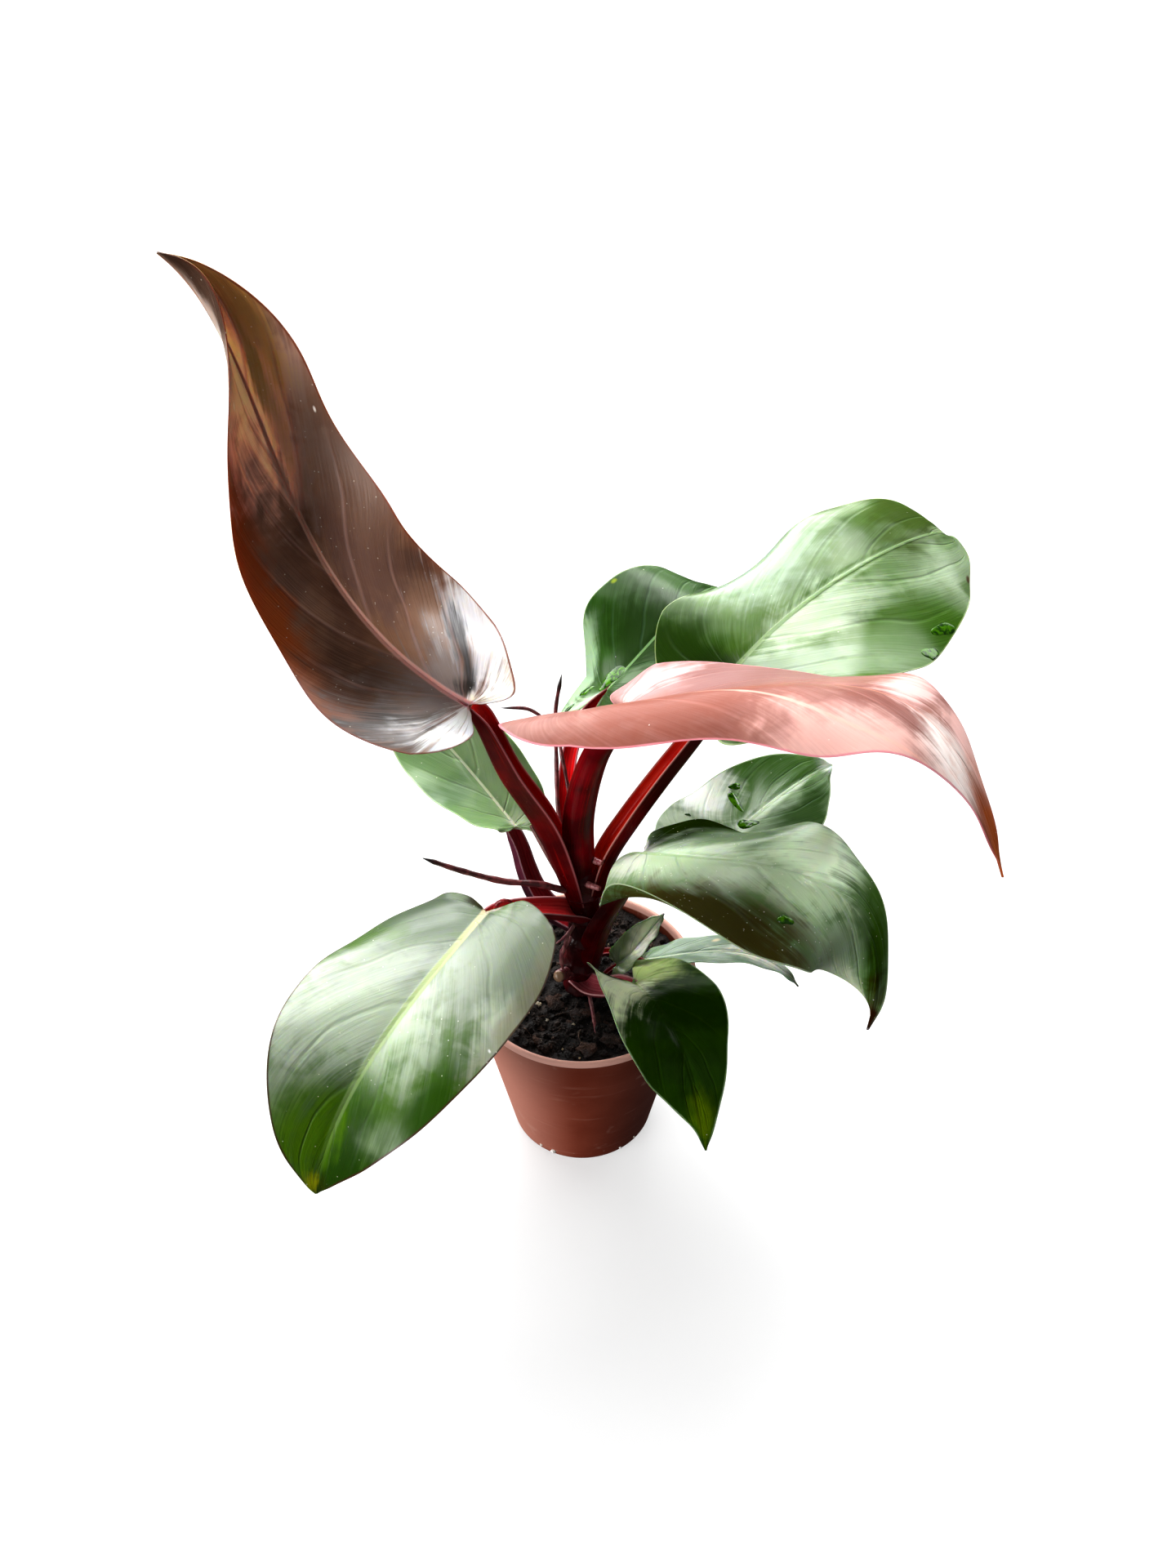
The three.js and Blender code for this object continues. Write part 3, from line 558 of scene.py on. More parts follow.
LEAVES = {
    "copper": LeafPlan(
        width=93, lobes=(0.35, 0.5), face=(0.3, -0.8, 0.5),
        midrib=((-47, -11, 289), (-141, 43, 314), (-121, 50, 425), (-152, 25, 464)),
        roll=(-22, 3, 55), fold_left=(79, 29, 86), fold_right=(29, 57, 70),
        curl_left=(-51, 41, -13), curl_right=(-31, -3, 27), wave=(-10, 0.05, 0.6),
        trim_left=(1.1, 1, 1, 0.92, 1.08, 1.15), trim_right=(1, 1.03, 1.06, 1.1, 1.05, 0.85),
        petiole=PetiolePlan(
            route=((-1, 0, 166), (-8, -2, 191), (-17, -5, 220), (-31, -8, 250)),
            adaxial=(0.8, -0.35, 0.4), half=(7.5, 6.5, 5), depth=(6, 6, 4.5),
            wing_left=(2, 2.5, 2), wing_right=(5, 9, 4))),
    "pink": LeafPlan(
        width=90, lobes=(0.4, 1.2), face=(0, 0.25, 1),
        midrib=((18, -8, 285), (113, -52, 337), (131, -67, 355), (163, -94, 268)),
        roll=(-3, 4, 10), fold_left=(8, -12, 8), fold_right=(24, 16, 3),
        curl_left=(19, -11, 14), curl_right=(-69, -116, -59), wave=(-4, 0.3, 0.65),
        trim_left=(1, 1, 0.88, 0.94, 1, 1), trim_right=(1.15, 1.17, 1, 0.96, 0.92, 1), lobe_lift=(0, 5),
        petiole=PetiolePlan(
            route=((0, 1, 172), (-1, -2, 197), (-1, -4, 220), (3, -7, 247), (9, -11, 268)),
            adaxial=(-0.35, 0.9, 0.1), half=(7, 7.2, 5), depth=(6, 6, 4.5),
            wing_left=(1.5, 2, 1.5), wing_right=(1.5, 2, 1.5))),
    "upper_right": LeafPlan(
        width=118, lobes=(1, 1.05), face=(-0.2, -0.6, 0.8),
        midrib=((69, 34, 275), (113, 56, 324), (180, 103, 318), (187, 137, 289)),
        roll=(-24, -6, 9), fold_left=(11, -7, 9), fold_right=(15, -10, 4),
        curl_left=(-32, -69, 26), curl_right=(5, -1, -12), wave=(5.5, -0.05, 0.3),
        trim_left=(1, 1, 1.05, 1, 1, 1), trim_right=(1, 1, 1, 1, 0.95, 1),
        petiole=PetiolePlan(
            route=((5, 0, 170), (12, 3, 192), (23, 8, 210), (37, 15, 229), (54, 24, 250)),
            adaxial=(-0.75, -0.4, 0.45), half=(6.5, 5.8, 4.5), depth=(6, 5.5, 4.5),
            wing_left=(4, 6, 3), wing_right=(2, 2, 1.5))),
    "upper_back": LeafPlan(
        width=91, lobes=(1.6, 1), face=(-0.35, -0.5, 0.8),
        midrib=((13, 78, 235), (46, 100, 262), (66, 130, 275), (81, 160, 242)),
        roll=(-41, -1, -12), fold_left=(3, 8, 3), fold_right=(5, -5, -5),
        curl_left=(-5, 2, 0), wave=(-2.5, 0, 0.3),
        trim_left=(0.97, 0.95, 1, 1.05, 1.05, 1),
        petiole=PetiolePlan(
            route=((-1, 4, 168), (-7, 14, 194), (-8, 26, 208), (-5, 49, 221), (3, 66, 229)),
            adaxial=(0.1, -0.8, 0.5), half=(4.5, 4, 3.2), depth=(4, 3.5, 3))),
    "left_back": LeafPlan(
        width=60, lobes=(0.2, 0.9), face=(0.25, -0.55, 0.8),
        midrib=((-33, 26, 188), (-51, 44, 202), (-77, 62, 230), (-109, 77, 251)),
        roll=(39, 5, -21), fold_left=(15, 8, 1), fold_right=(10, 8, 5),
        wave=(0.5, 0, 0.5),
        trim_left=(1, 1, 1, 1.07, 1.06, 1),
        petiole=PetiolePlan(
            route=((-2, 3, 143), (-17, 10, 148), (-24, 15, 156), (-28, 19, 166), (-31, 23, 177)),
            adaxial=(0.7, -0.4, 0.4), half=(6.5, 6, 4.5), depth=(5, 5, 3.5),
            wing_left=(2, 2.5, 1), wing_right=(2, 3, 1))),
    "right_back": LeafPlan(
        width=73, lobes=(1, 1), face=(-0.1, -0.45, 0.85),
        midrib=((73, 21, 182), (79, 39, 173), (111, 65, 187), (135, 87, 179)),
        roll=(-17, -15, 20), fold_left=(7, 3, 9), fold_right=(8, 3, 6),
        curl_left=(-3, -3, 1), wave=(-1, 0, 0.5),
        trim_left=(1.05, 1.17, 1.1, 1.04, 1, 1),
        petiole=PetiolePlan(
            route=((4, 3, 158), (16, 7, 166), (34, 11, 173), (54, 16, 177)),
            adaxial=(-0.2, -0.1, 1), half=(4, 3.4, 2.8), depth=(3.5, 3.2, 2.6))),
    "right": LeafPlan(
        width=97, lobes=(0.55, 0.55), face=(0, 0, 1),
        midrib=((29, -9, 203), (75, -51, 234), (137, -69, 259), (131, -72, 151)),
        roll=(2, 15, 25), fold_left=(-10, -17, -18), fold_right=(-17, 2, -57),
        curl_left=(-19, -29, 12), curl_right=(58, 35, -19), wave=(6.5, -0.1, 0.4),
        trim_left=(1, 1.05, 1.05, 0.85, 0.8, 0.65), trim_right=(0.1, 0.6, 1.18, 1.14, 1.1, 1.15),
        lobe_lift=(0, 13),
        petiole=PetiolePlan(
            route=((3, 0, 122), (9, -4, 150), (19, -9, 178)),
            adaxial=(-0.5, 0.5, 0.5), half=(8.5, 7.5, 4.5), depth=(6.5, 5.5, 4),
            wing_left=(2, 2, 1), wing_right=(2, 2, 1))),
    "front_left": LeafPlan(
        width=108, lobes=(0.45, 0.25), face=(-0.1, -0.5, 0.85),
        midrib=((-45, -21, 176), (-82, -68, 160), (-109, -121, 160), (-120, -122, 97)),
        roll=(33, 5, -11), fold_left=(14, 21, 19), fold_right=(-3, 15, 31),
        curl_left=(-67, -35, 6), curl_right=(-23, -34, 0), wave=(0.7, 0, 0.5),
        trim_left=(1, 1, 1, 1, 0.95, 0.9), trim_right=(1, 1.03, 1.04, 1.03, 1.04, 1.03),
        petiole=PetiolePlan(
            route=((1, -2, 156), (-7, -8, 164), (-22, -14, 171), (-36, -18, 174)),
            adaxial=(0, -0.25, 1), half=(6.5, 5.5, 3.8), depth=(5.5, 5, 3.4),
            wing_left=(1.5, 2, 1), wing_right=(2, 3, 1.5))),
    "front_right": LeafPlan(
        width=58, lobes=(1.8, 0.2), face=(-0.1, -0.6, 0.8),
        midrib=((26, -31, 136), (40, -67, 159), (49, -100, 169), (58, -102, 101)),
        roll=(-38, -26, 9), fold_left=(3, -3, -7), fold_right=(25, 9, -9),
        curl_left=(22, 8, -7), curl_right=(43, 4, -3), wave=(1, 0, 0.5),
        trim_left=(0.78, 1.03, 1.1, 1.03, 0.98, 0.95), trim_right=(-0.3, 0.98, 1, 1.06, 0.95, 0.75),
        petiole=PetiolePlan(
            route=((-2, -4, 112), (4, -12, 114), (12, -20, 121), (20, -26, 130)),
            adaxial=(0, -0.5, 0.85), half=(6, 5.5, 3.5), depth=(4, 4, 3),
            wing_left=(2, 3, 1), wing_right=(1, 1.5, 1))),
    "low_right": LeafPlan(
        width=31, lobes=(0.4, 1), face=(0, -0.1, 1),
        midrib=((33, 7, 112), (55, 2, 121), (92, 6, 133), (114, 0, 99)),
        roll=(-27, -18, -3), fold_left=(0, 2, 2), fold_right=(8, 11, 7),
        curl_left=(-3, 4, -2),
        trim_left=(1, 1, 1, 0.95, 0.9, 0.97),
        petiole=PetiolePlan(
            route=((4, 3, 118), (12, 6, 119), (22, 7, 116)),
            adaxial=(0, 0, 1), half=(2.6, 2, 1.6), depth=(2.4, 2, 1.6),
            wing_left=(0.8, 0.8, 0.5), wing_right=(0.8, 0.8, 0.5))),
    "small": LeafPlan(
        width=22, lobes=(0.6, 1), face=(-0.3, -0.6, 0.8),
        midrib=((18, -2, 118), (24, -3, 122), (36, 9, 134), (42, 9, 144)),
        roll=(-2, -12, 12), fold_left=(29, 30, 30), fold_right=(32, 34, 27),
        curl_right=(1, 5, -1),
        trim_left=(1, 0.9, 0.83, 0.95, 1, 1), trim_right=(1, 0.98, 0.97, 1, 1.03, 1),
        petiole=PetiolePlan(
            route=((4, 0, 104), (10, -1, 107), (14, -1, 112)),
            adaxial=(-0.3, 0, 1), half=(2.4, 2, 1.6), depth=(2.2, 1.9, 1.5),
            wing_left=(0.6, 0.6, 0.4), wing_right=(0.6, 0.6, 0.4))),
}


# Leaf finishes


@dataclass(frozen=True)
class Wash:
    """A soft patch of another colour on a blade.

    at is its centre and size its reach, across (-1 at the left margin to 1 at the right)
    and along the order of the side veins (0 to 1). streak is how far the veins break it up,
    tilt how far its long axis rises towards the right margin, and matt how much it dulls.
    A wash is either the leaf's own tone or painted light: most pale and near-white washes
    are painted sheen, the window's reflection on the gloss painted into the colour.
    """

    colour: int
    at: Pair
    size: Pair
    strength: float = 1.0
    streak: float = 0.6
    tilt: float = 0.0
    matt: float = 0.0


@dataclass(frozen=True)
class LeafFinish:
    """Everything that a leaf's upper side and underside are painted with.

    veil and vein are the fine streaks and the side veins, rib the midrib at base and tip, and
    rib_fade the place along where its colour ends; the pale veil streaks are partly painted
    sheen. rib_width and margin_width are in millimetres. through is how much light passes
    into the blade and reach how far, in red, green and blue. quilt is the rise between side
    veins in millimetres, grain the height of the streaks and sweep how far the side veins
    bend towards the tip. Pale washes are mostly painted sheen, as told at Wash.
    """

    slot: Slot
    body: int
    deep: int
    veil: int
    vein: int
    rib: tuple[int, int]
    margin: int
    under: int
    veil_share: float = 0.16
    vein_share: float = 0.12
    rib_width: Pair = (3.0, 1.0)
    rib_fade: float = 1.0
    margin_width: float = 0.7
    veins: int = 6
    roughness: float = 0.34
    gloss: float = 0.06
    coat: float = 0.45
    through: float = 0.55
    reach: Triple = (0.5, 1.0, 0.12)
    quilt: float = 0.25
    grain: float = 0.6
    sweep: float = 0.22
    specks: float = 0.012
    dust: int = 0xE8E6DC
    washes: tuple[Wash, ...] = ()

    def veined(self, paint: Paint) -> tuple[Value, Value, Value, Value, Value]:
        """The leaf's map, its side veins and the streaks that run beside them.

        Args:
            paint: the material being made.

        Returns:
            The place across (-1 at the left margin to 1 at the right), the place in the order
            of the side veins, the vein mask, the soft streaks and the fine streaks.
        """
        u, along = paint.uv()
        across = u * 2 - 1
        side = paint.math("SIGN", across)
        flow = along - abs(across) * self.sweep
        drift = paint.cloud(paint.vector(across * 1.1, along * 3, side * 7), 1.3)
        streak = paint.cloud(paint.vector(across * 1.6, flow * 30, side * 5), 1.0, 3, 0.4)
        fine = paint.cloud(paint.vector(across * 2.6, flow * 150, side * 3), 1.0, 2)
        order = flow * self.veins + side * 0.25 + (drift - 0.5) * 0.5
        near = abs(paint.math("FRACT", order) - 0.5)
        vein = near.within(0.075, 0.0) * abs(across).within(1.0, 0.55) * along.within(1.0, 0.8)
        return across, along, vein, streak, fine

    def upper(self, name: str) -> Material:
        """The material of the upper side."""
        paint = Paint(f"leaf_{name}_upper")
        across, along, vein, streak, fine = self.veined(paint)
        from_rib, from_margin, _ = paint.attribute("leaf_lay")
        cloud = paint.cloud(paint.place(), 38, 3)
        # veil: pale streaks along the veins, partly painted sheen
        veil = (streak * 0.6 + fine * 0.4).within(0.42, 0.64) * self.veil_share
        colour = paint.layered(self.body, (cloud.within(0.38, 0.66), self.deep), (veil, self.veil))
        blotch = (paint.cloud(paint.place(), 85, 4, 0.5) - 0.5) * 1.1
        shine: Value | float = 1.0
        # washes: the leaf's own tones, with painted sheen, reflection, glow and shade as listed in FINISHES
        for wash in self.washes:
            aside = across - wash.at[0]
            onward = along - wash.at[1] - aside * wash.tilt
            reach = ((aside / wash.size[0]) ** 2 + (onward / wash.size[1]) ** 2) ** 0.5
            broken = reach + (streak - 0.5) * (1.4 * wash.streak) + (fine - 0.5) * (0.7 * wash.streak)
            mask = (broken + blotch).within(1.3, 0.4)
            colour = paint.mix(mask * wash.strength, colour, wash.colour)
            if wash.matt:
                shine = (1 - mask * wash.matt) * shine
        start, end = self.rib_width
        width = (1 - along) ** 1.4 * ((start - end) / 2) + end / 2
        shown = along.within(self.rib_fade + 0.25, self.rib_fade - 0.25)
        rib = (abs(from_rib) / width).within(1.25, 0.7) * shown
        edge = (from_margin + (streak - 0.5) * 0.6).within(self.margin_width, self.margin_width * 0.35)
        speck = paint.dots(paint.place(), 520, 0.2, self.specks)
        colour = paint.layered(
            colour,
            (vein * self.vein_share, self.vein),
            (rib, paint.mix(along.within(0, 0.7), *self.rib)),
            (edge * along.within(1.0, 0.84) * 0.85, self.margin),
            (speck * 0.6, self.dust),
        )
        relief = streak * (0.5 * self.grain) + fine * (0.28 * self.grain) - vein * 0.4 + rib * 0.2
        dull = speck * 0.2 + (1 - shine) * 0.12
        rough = (streak - 0.5) * 0.22 + cloud * 0.1 + dull + (self.roughness - 0.05)
        return paint.surface(
            colour, rough, relief, 0.0009, Specular_IOR_Level=self.gloss, Coat_Weight=shine * self.coat,
            Coat_Roughness=0.2, Subsurface_Weight=self.through, Subsurface_Radius=self.reach,
            Subsurface_Scale=MM)

    def lower(self, name: str) -> Material:
        """The material of the underside."""
        paint = Paint(f"leaf_{name}_under")
        _, along, vein, streak, fine = self.veined(paint)
        from_rib = paint.attribute("leaf_lay")[0]
        start, end = self.rib_width
        width = (1 - along) * ((start - end) / 2) + end / 2
        colour = paint.layered(
            self.under,
            ((streak * 0.6 + fine * 0.4).within(0.35, 0.65) * 0.5, self.body),
            (vein * 0.6, self.vein),
            ((abs(from_rib) / width).within(1.2, 0.8), paint.mix(along.within(0, 0.8), *self.rib)),
        )
        return paint.surface(
            colour, (streak - 0.5) * 0.2 + 0.5, vein * 0.6 + fine * 0.3, 0.0006,
            Subsurface_Weight=self.through, Subsurface_Radius=self.reach, Subsurface_Scale=MM)


# The pale and near-white washes below are mostly painted sheen; each leaf's comment tells which.
FINISHES = {
    "copper": LeafFinish(
        Slot.COPPER_LEAF, body=0x96745C, deep=0x785642, veil=0xAC9080, vein=0xB4948A,
        rib=(0xE6BEBE, 0xC8A08C), margin=0x7A3A22, under=0x5E3828, rib_width=(7.5, 1.6), veins=7,
        gloss=0.35, coat=0.5, through=0.8, reach=(1.4, 1.1, 0.7), vein_share=0.4, quilt=0.5, grain=1.0,
        specks=0.12,
        # Painted light: the orange wash at the left margin is painted glow of light shining through,
        # silver-white and near-black streaked washes on the base lobes are painted reflection of the
        # the near-white wash over the top is painted light that lifts its dim upper part, and the grey,
        # window with its dark gaps. The two tiny white marks are nicks.
        washes=(
            Wash(0xA8560A, (-0.95, 0.52), (0.35, 0.26), 0.95, 0.6, 0, 0.6),
            Wash(0xFFE8DA, (-0.2, 0.78), (1.1, 0.16), 0.97),
            Wash(0x5A4030, (-0.55, 0.38), (0.45, 0.08), 0.8, 0.8),
            Wash(0x664C46, (0.5, 0.52), (0.5, 0.12), 0.75, 0.6, 0, 0.4),
            Wash(0x785C4C, (0.85, 0.6), (0.5, 0.14), 0.8, 0.4, 0, 1.0),
            Wash(0xBCA45C, (0.75, 0.84), (0.5, 0.1), 0.85, 0.9, 0.2),
            Wash(0x94843C, (0.35, 0.76), (0.2, 0.08), 0.6, 1.0, 0.3),
            Wash(0x5A3E2C, (-0.9, 0.91), (0.7, 0.16), 0.98, 0.3, 0, 1.0),
            Wash(0x9A9492, (-0.1, 0.27), (1.0, 0.12), 0.75, 1.0),
            Wash(0xD8D8DC, (0.8, 0.25), (0.55, 0.13), 0.9, 1.8, 0.2),
            Wash(0x201A18, (0.5, 0.25), (0.3, 0.05), 0.85, 1.8, 0.3, 0.6),
            Wash(0xF4F4F4, (0.85, 0.1), (0.4, 0.12), 0.95, 1.2),
            Wash(0x2A2420, (0.26, 0.2), (0.16, 0.06), 0.8, 1.2),
            Wash(0xF4F0F0, (0.15, 0.1), (0.26, 0.07), 0.9, 1.0),
            Wash(0x2A2420, (-0.8, 0.27), (0.4, 0.06), 0.8, 1.4, -0.1),
            Wash(0xFFFFFF, (-0.6, 0.12), (0.9, 0.12), 0.98, 1.4, -0.1),
            Wash(0xFFFAF8, (-0.3, 0.04), (0.9, 0.1), 0.95, 0.8),
            Wash(0xFFFFFF, (-0.66, 0.73), (0.02, 0.006), 0.9, 0.0),
            Wash(0xFFFFFF, (0.86, 0.68), (0.02, 0.004), 0.9, 0.0),
        )),
    "pink": LeafFinish(
        Slot.PINK_LEAF, body=0x946A60, deep=0x885C54, veil=0xD8A8A2, vein=0xDCA298,
        rib=(0xC88A7C, 0xC08470), margin=0xD08A94, under=0xC47C68, rib_fade=0.7, roughness=0.45,
        coat=0.12, reach=(1.0, 0.8, 0.7), sweep=0.3,
        # 0xF0C8C0, 0xF8D0CA). The dark wash 0x8A5244 over the near half is painted shade against the
        # Painted sheen: the near-white and pale pink streaked washes (0xE6CAC8, 0xFFF6F2, 0xF4D0CC,
        # strong window light there. The brown wash at the tip is the leaf's own colour.
        washes=(
            Wash(0x8A5244, (0.3, 0.38), (0.9, 0.2), 0.85, 0.3),
            Wash(0x865E5A, (-0.6, 0.42), (0.7, 0.16), 0.9, 0.3),
            Wash(0xA88482, (-0.6, 0.2), (0.8, 0.12), 0.9, 0.4),
            Wash(0xE6CAC8, (-0.6, 0.2), (0.4, 0.08), 0.6, 1.2, -0.2),
            Wash(0xFFF6F2, (0.3, 0.79), (1.2, 0.07), 0.9, 0.8, -0.02),
            Wash(0xF4D0CC, (-0.5, 0.66), (0.6, 0.05), 0.7, 1.0, 0.05),
            Wash(0xF0C8C0, (0.95, 0.62), (0.4, 0.14), 0.7, 0.6),
            Wash(0xF8D0CA, (-0.8, 0.79), (0.6, 0.08), 0.8, 0.4),
            Wash(0xA85828, (0, 1.05), (2.8, 0.24), 1.0, 0.2, 0.02, 1.0),
            Wash(0xE8B8AA, (0.7, 0.57), (0.4, 0.012), 0.6, 0.0, 0.53),
        )),
    "upper_right": LeafFinish(
        Slot.PALE_GREEN_LEAF, body=0x4C6C1A, deep=0x3A5C0A, veil=0x8CAC80, vein=0x86A476,
        rib=(0x98AC84, 0x7E9868), margin=0xA0B080, under=0x8FAE5A, rib_width=(3.6, 1.2), quilt=0.3,
        sweep=0.32,
        # (0x98A890) and the lighter band along the midrib (0xB4C4AA, 0xB0C49C).
        # Painted sheen: the pale wedge at the left (0x94A890), the pale streaks at the right base
        washes=(
            Wash(0x94A890, (-0.75, 0.48), (0.6, 0.14), 0.9, 0.7),
            Wash(0x98A890, (0.45, 0.36), (0.6, 0.1), 0.85, 1.3, 0.25),
            Wash(0x86A272, (0.3, 0.72), (0.4, 0.22), 0.8, 1.0, 0.3),
            Wash(0x98AE8A, (0.8, 0.82), (0.5, 0.16), 0.8, 0.8, 0.3),
            Wash(0xB4C4AA, (0.16, 0.48), (0.28, 0.13), 0.8, 0.8, 0.2),
            Wash(0x4A7418, (0.85, 0.56), (0.4, 0.12), 0.8),
            Wash(0xB0C49C, (-0.1, 0.86), (0.2, 0.14), 0.8),
            Wash(0x3C5400, (-0.6, 0.8), (0.9, 0.13), 0.97, 0.3, -0.1, 1.0),
            Wash(0x264400, (-0.6, 0.18), (0.8, 0.13), 0.98, 0.3, 0, 1.0),
            Wash(0x4A2A08, (0.96, 0.75), (0.04, 0.012), 0.9, 0.0),
        )),
    "upper_back": LeafFinish(
        Slot.DARK_GREEN_LEAF, body=0x305414, deep=0x224206, veil=0x55784C, vein=0x64886A,
        rib=(0x809A70, 0x648852), margin=0x8DA278, under=0x5A7A3A, coat=0.3, sweep=0.3,
        # The two pale washes at the base are wet patches whose whiteness is painted sheen.
        washes=(
            Wash(0xA8C2A0, (-0.9, 0.28), (0.3, 0.14), 0.85, 0.6),
            Wash(0xC8DCC0, (-0.7, 0.04), (0.7, 0.12), 0.8, 0.6),
            Wash(0x1C3A00, (-0.15, 0.5), (0.6, 0.14), 0.95, 0.5, 0, 1.0),
            Wash(0x2C5204, (-0.15, 0.16), (0.35, 0.12), 0.9, 0.5, 0, 1.0),
            Wash(0x5E7C4E, (-0.5, 0.7), (0.6, 0.06), 0.6, 1.0),
            Wash(0x8EA000, (-0.95, 0.56), (0.035, 0.012), 0.9, 0.0),
        )),
    "left_back": LeafFinish(
        Slot.PALE_GREEN_LEAF, body=0x7A9868, deep=0x5E8050, veil=0xB4C6AA, vein=0xB0C4A4,
        rib=(0xD9DCC4, 0xC0CCAE), margin=0xB5C8A2, under=0x86A458, specks=0.05,
        washes=(
            Wash(0xC0D0B0, (0.1, 0.18), (0.4, 0.2), 0.8, 0.8),
            Wash(0x9CB48C, (0.4, 0.5), (0.5, 0.2), 0.6, 1.0),
        )),
    "right_back": LeafFinish(
        Slot.GREEN_LEAF, body=0x567A38, deep=0x426820, veil=0xA2BFA0, vein=0x9DB898,
        rib=(0xCFDCC4, 0xB4C8A4), margin=0x9DB08A, under=0x6F8F42, sweep=0.3,
        # Painted sheen: the pale washes on the left half (0xF0F6EC, 0xB0C2A0) and along the midrib
        # (0xC8D8C0).
        washes=(
            Wash(0xE0E8DC, (0.1, 0.98), (1.3, 0.09), 0.9, 0.5),
            Wash(0xF0F6EC, (-0.85, 0.52), (0.6, 0.1), 0.95, 0.5),
            Wash(0xB0C2A0, (-0.5, 0.34), (0.8, 0.08), 0.8, 0.5),
            Wash(0xC8D8C0, (0.02, 0.65), (0.14, 0.25), 0.8, 0.5),
            Wash(0x284A04, (0.65, 0.68), (0.5, 0.16), 0.95, 0.5, 0, 1.0),
        )),
    "right": LeafFinish(
        Slot.GREEN_LEAF, body=0x60804A, deep=0x4E6E36, veil=0x94A892, vein=0x8AA084,
        rib=(0xA8BC98, 0x94AC84), margin=0xA9B69A, under=0x8FB03A, veil_share=0.2, rib_width=(3.2, 1.0),
        rib_fade=0.5, specks=0.2, gloss=0.0, sweep=0.3,
        # The pale and near-white washes are the dust film that dulls this leaf together with painted sheen.
        washes=(
            Wash(0xE8FFDC, (-0.4, 0.62), (0.9, 0.1), 0.97, 0.8, 0.05),
            Wash(0x8CA480, (-0.5, 0.44), (0.6, 0.12), 0.8, 0.5),
            Wash(0xB4C6A8, (0.1, 0.42), (0.35, 0.34), 0.85, 0.6, -0.2),
            Wash(0xC4CCBC, (0.4, 0.14), (0.8, 0.12), 0.9, 0.6),
            Wash(0xB0C6A6, (0.65, 0.76), (0.5, 0.12), 0.75, 0.9),
            Wash(0x463A10, (0.75, 0.5), (0.45, 0.2), 0.9, 0.7, 0.1, 1.0),
            Wash(0x1A2A00, (-0.9, 0.22), (0.75, 0.17), 0.99, 0.2, -0.05, 1.0),
            Wash(0xFAFFF4, (-0.7, 0.0), (0.9, 0.07), 0.97, 0.4),
            Wash(0x345600, (-0.25, 0.85), (1.0, 0.09), 0.95, 0.4, 0.1, 1.0),
            Wash(0x301000, (-0.3, 1.0), (1.5, 0.12), 0.98, 0.3, 0, 1.0),
            Wash(0xC4CCB0, (0.95, 0.9), (0.35, 0.12), 0.85, 0.4),
        )),
    "front_left": LeafFinish(
        Slot.PALE_GREEN_LEAF, body=0x4A6A18, deep=0x3A5C0C, veil=0x869C7E, vein=0x869C78,
        rib=(0xB0A488, 0x9CB07C), margin=0x4A2A22, under=0x6E8E3A, rib_width=(7.0, 3.0), rib_fade=0.7,
        margin_width=0.9, specks=0.05,
        # Painted sheen: the grey-white washes over the middle (0x909A8A, 0xA0A89C, 0xB0BCA8) and at the
        # left margin (0xC4CCBC). The tiny white mark is a nick.
        washes=(
            Wash(0x909A8A, (-0.6, 0.34), (1.0, 0.26), 0.92, 0.6, 0.1),
            Wash(0xA0A89C, (0.45, 0.56), (0.9, 0.17), 0.9, 0.6, 0.1),
            Wash(0xB0BCA8, (0.1, 0.62), (0.8, 0.1), 0.8, 0.7),
            Wash(0x5E6A5A, (0.5, 0.28), (0.8, 0.18), 0.85, 0.5),
            Wash(0x2C5000, (-1.0, 0.64), (0.32, 0.07), 0.95, 0.4, -0.1, 1.0),
            Wash(0xC4CCBC, (-1.0, 0.48), (0.3, 0.07), 0.85, 0.5),
            Wash(0x244600, (-0.7, 0.87), (1.0, 0.16), 0.98, 0.5, -0.08, 1.0),
            Wash(0x557A08, (0.4, 0.83), (0.8, 0.1), 0.95, 0.6, 0, 1.0),
            Wash(0x2C3E00, (-0.5, 0.97), (0.8, 0.06), 0.95, 0.3, 0, 1.0),
            Wash(0xA4A800, (0.5, 0.96), (0.6, 0.05), 0.85, 0.5, 0, 1.0),
            Wash(0x282404, (0.65, 0.01), (0.95, 0.14), 0.97, 0.3, 0, 1.0),
            Wash(0xD8C8C4, (-0.35, 0.06), (0.3, 0.07), 0.8, 0.4),
            Wash(0x9A9A84, (-0.97, 0.4), (0.12, 0.16), 0.8),
            Wash(0xFFFFFF, (-0.95, 0.51), (0.02, 0.003), 0.8, 0.0),
        )),
    "front_right": LeafFinish(
        Slot.DARK_GREEN_LEAF, body=0x264800, deep=0x1A3800, veil=0x365018, vein=0x446216,
        rib=(0x6A8A3C, 0x3C5004), margin=0x8DA37E, under=0x55722E, rib_width=(2.0, 0.8), rib_fade=0.25,
        roughness=0.3, gloss=0.0, coat=0.14,
        # Painted sheen: the pale olive wash at the base lobes and the whitish-green streaks (0xF4FFD8).
        washes=(
            Wash(0xB8CC8A, (-0.5, 0.06), (0.9, 0.26), 0.95, 0.4, 0, 0.5),
            Wash(0xF4FFD8, (0.6, 0.38), (0.8, 0.15), 0.95, 0.8, 0.1),
            Wash(0x5E7400, (-0.1, 0.9), (0.9, 0.1), 0.85, 0.4),
            Wash(0x163000, (-0.5, 0.52), (0.9, 0.12), 0.9, 0.2, 0, 1.0),
        )),
    "low_right": LeafFinish(
        Slot.PALE_GREEN_LEAF, body=0x7C947C, deep=0x5E7A5A, veil=0xB8C6B2, vein=0xAABCA2,
        rib=(0xC6D0BC, 0xA8B89A), margin=0x9DB39A, under=0x7E9A56, rib_width=(2.0, 0.8), veins=5,
        washes=(
            Wash(0xFAFCF0, (-0.2, 0.78), (1.2, 0.14), 0.95, 0.4),
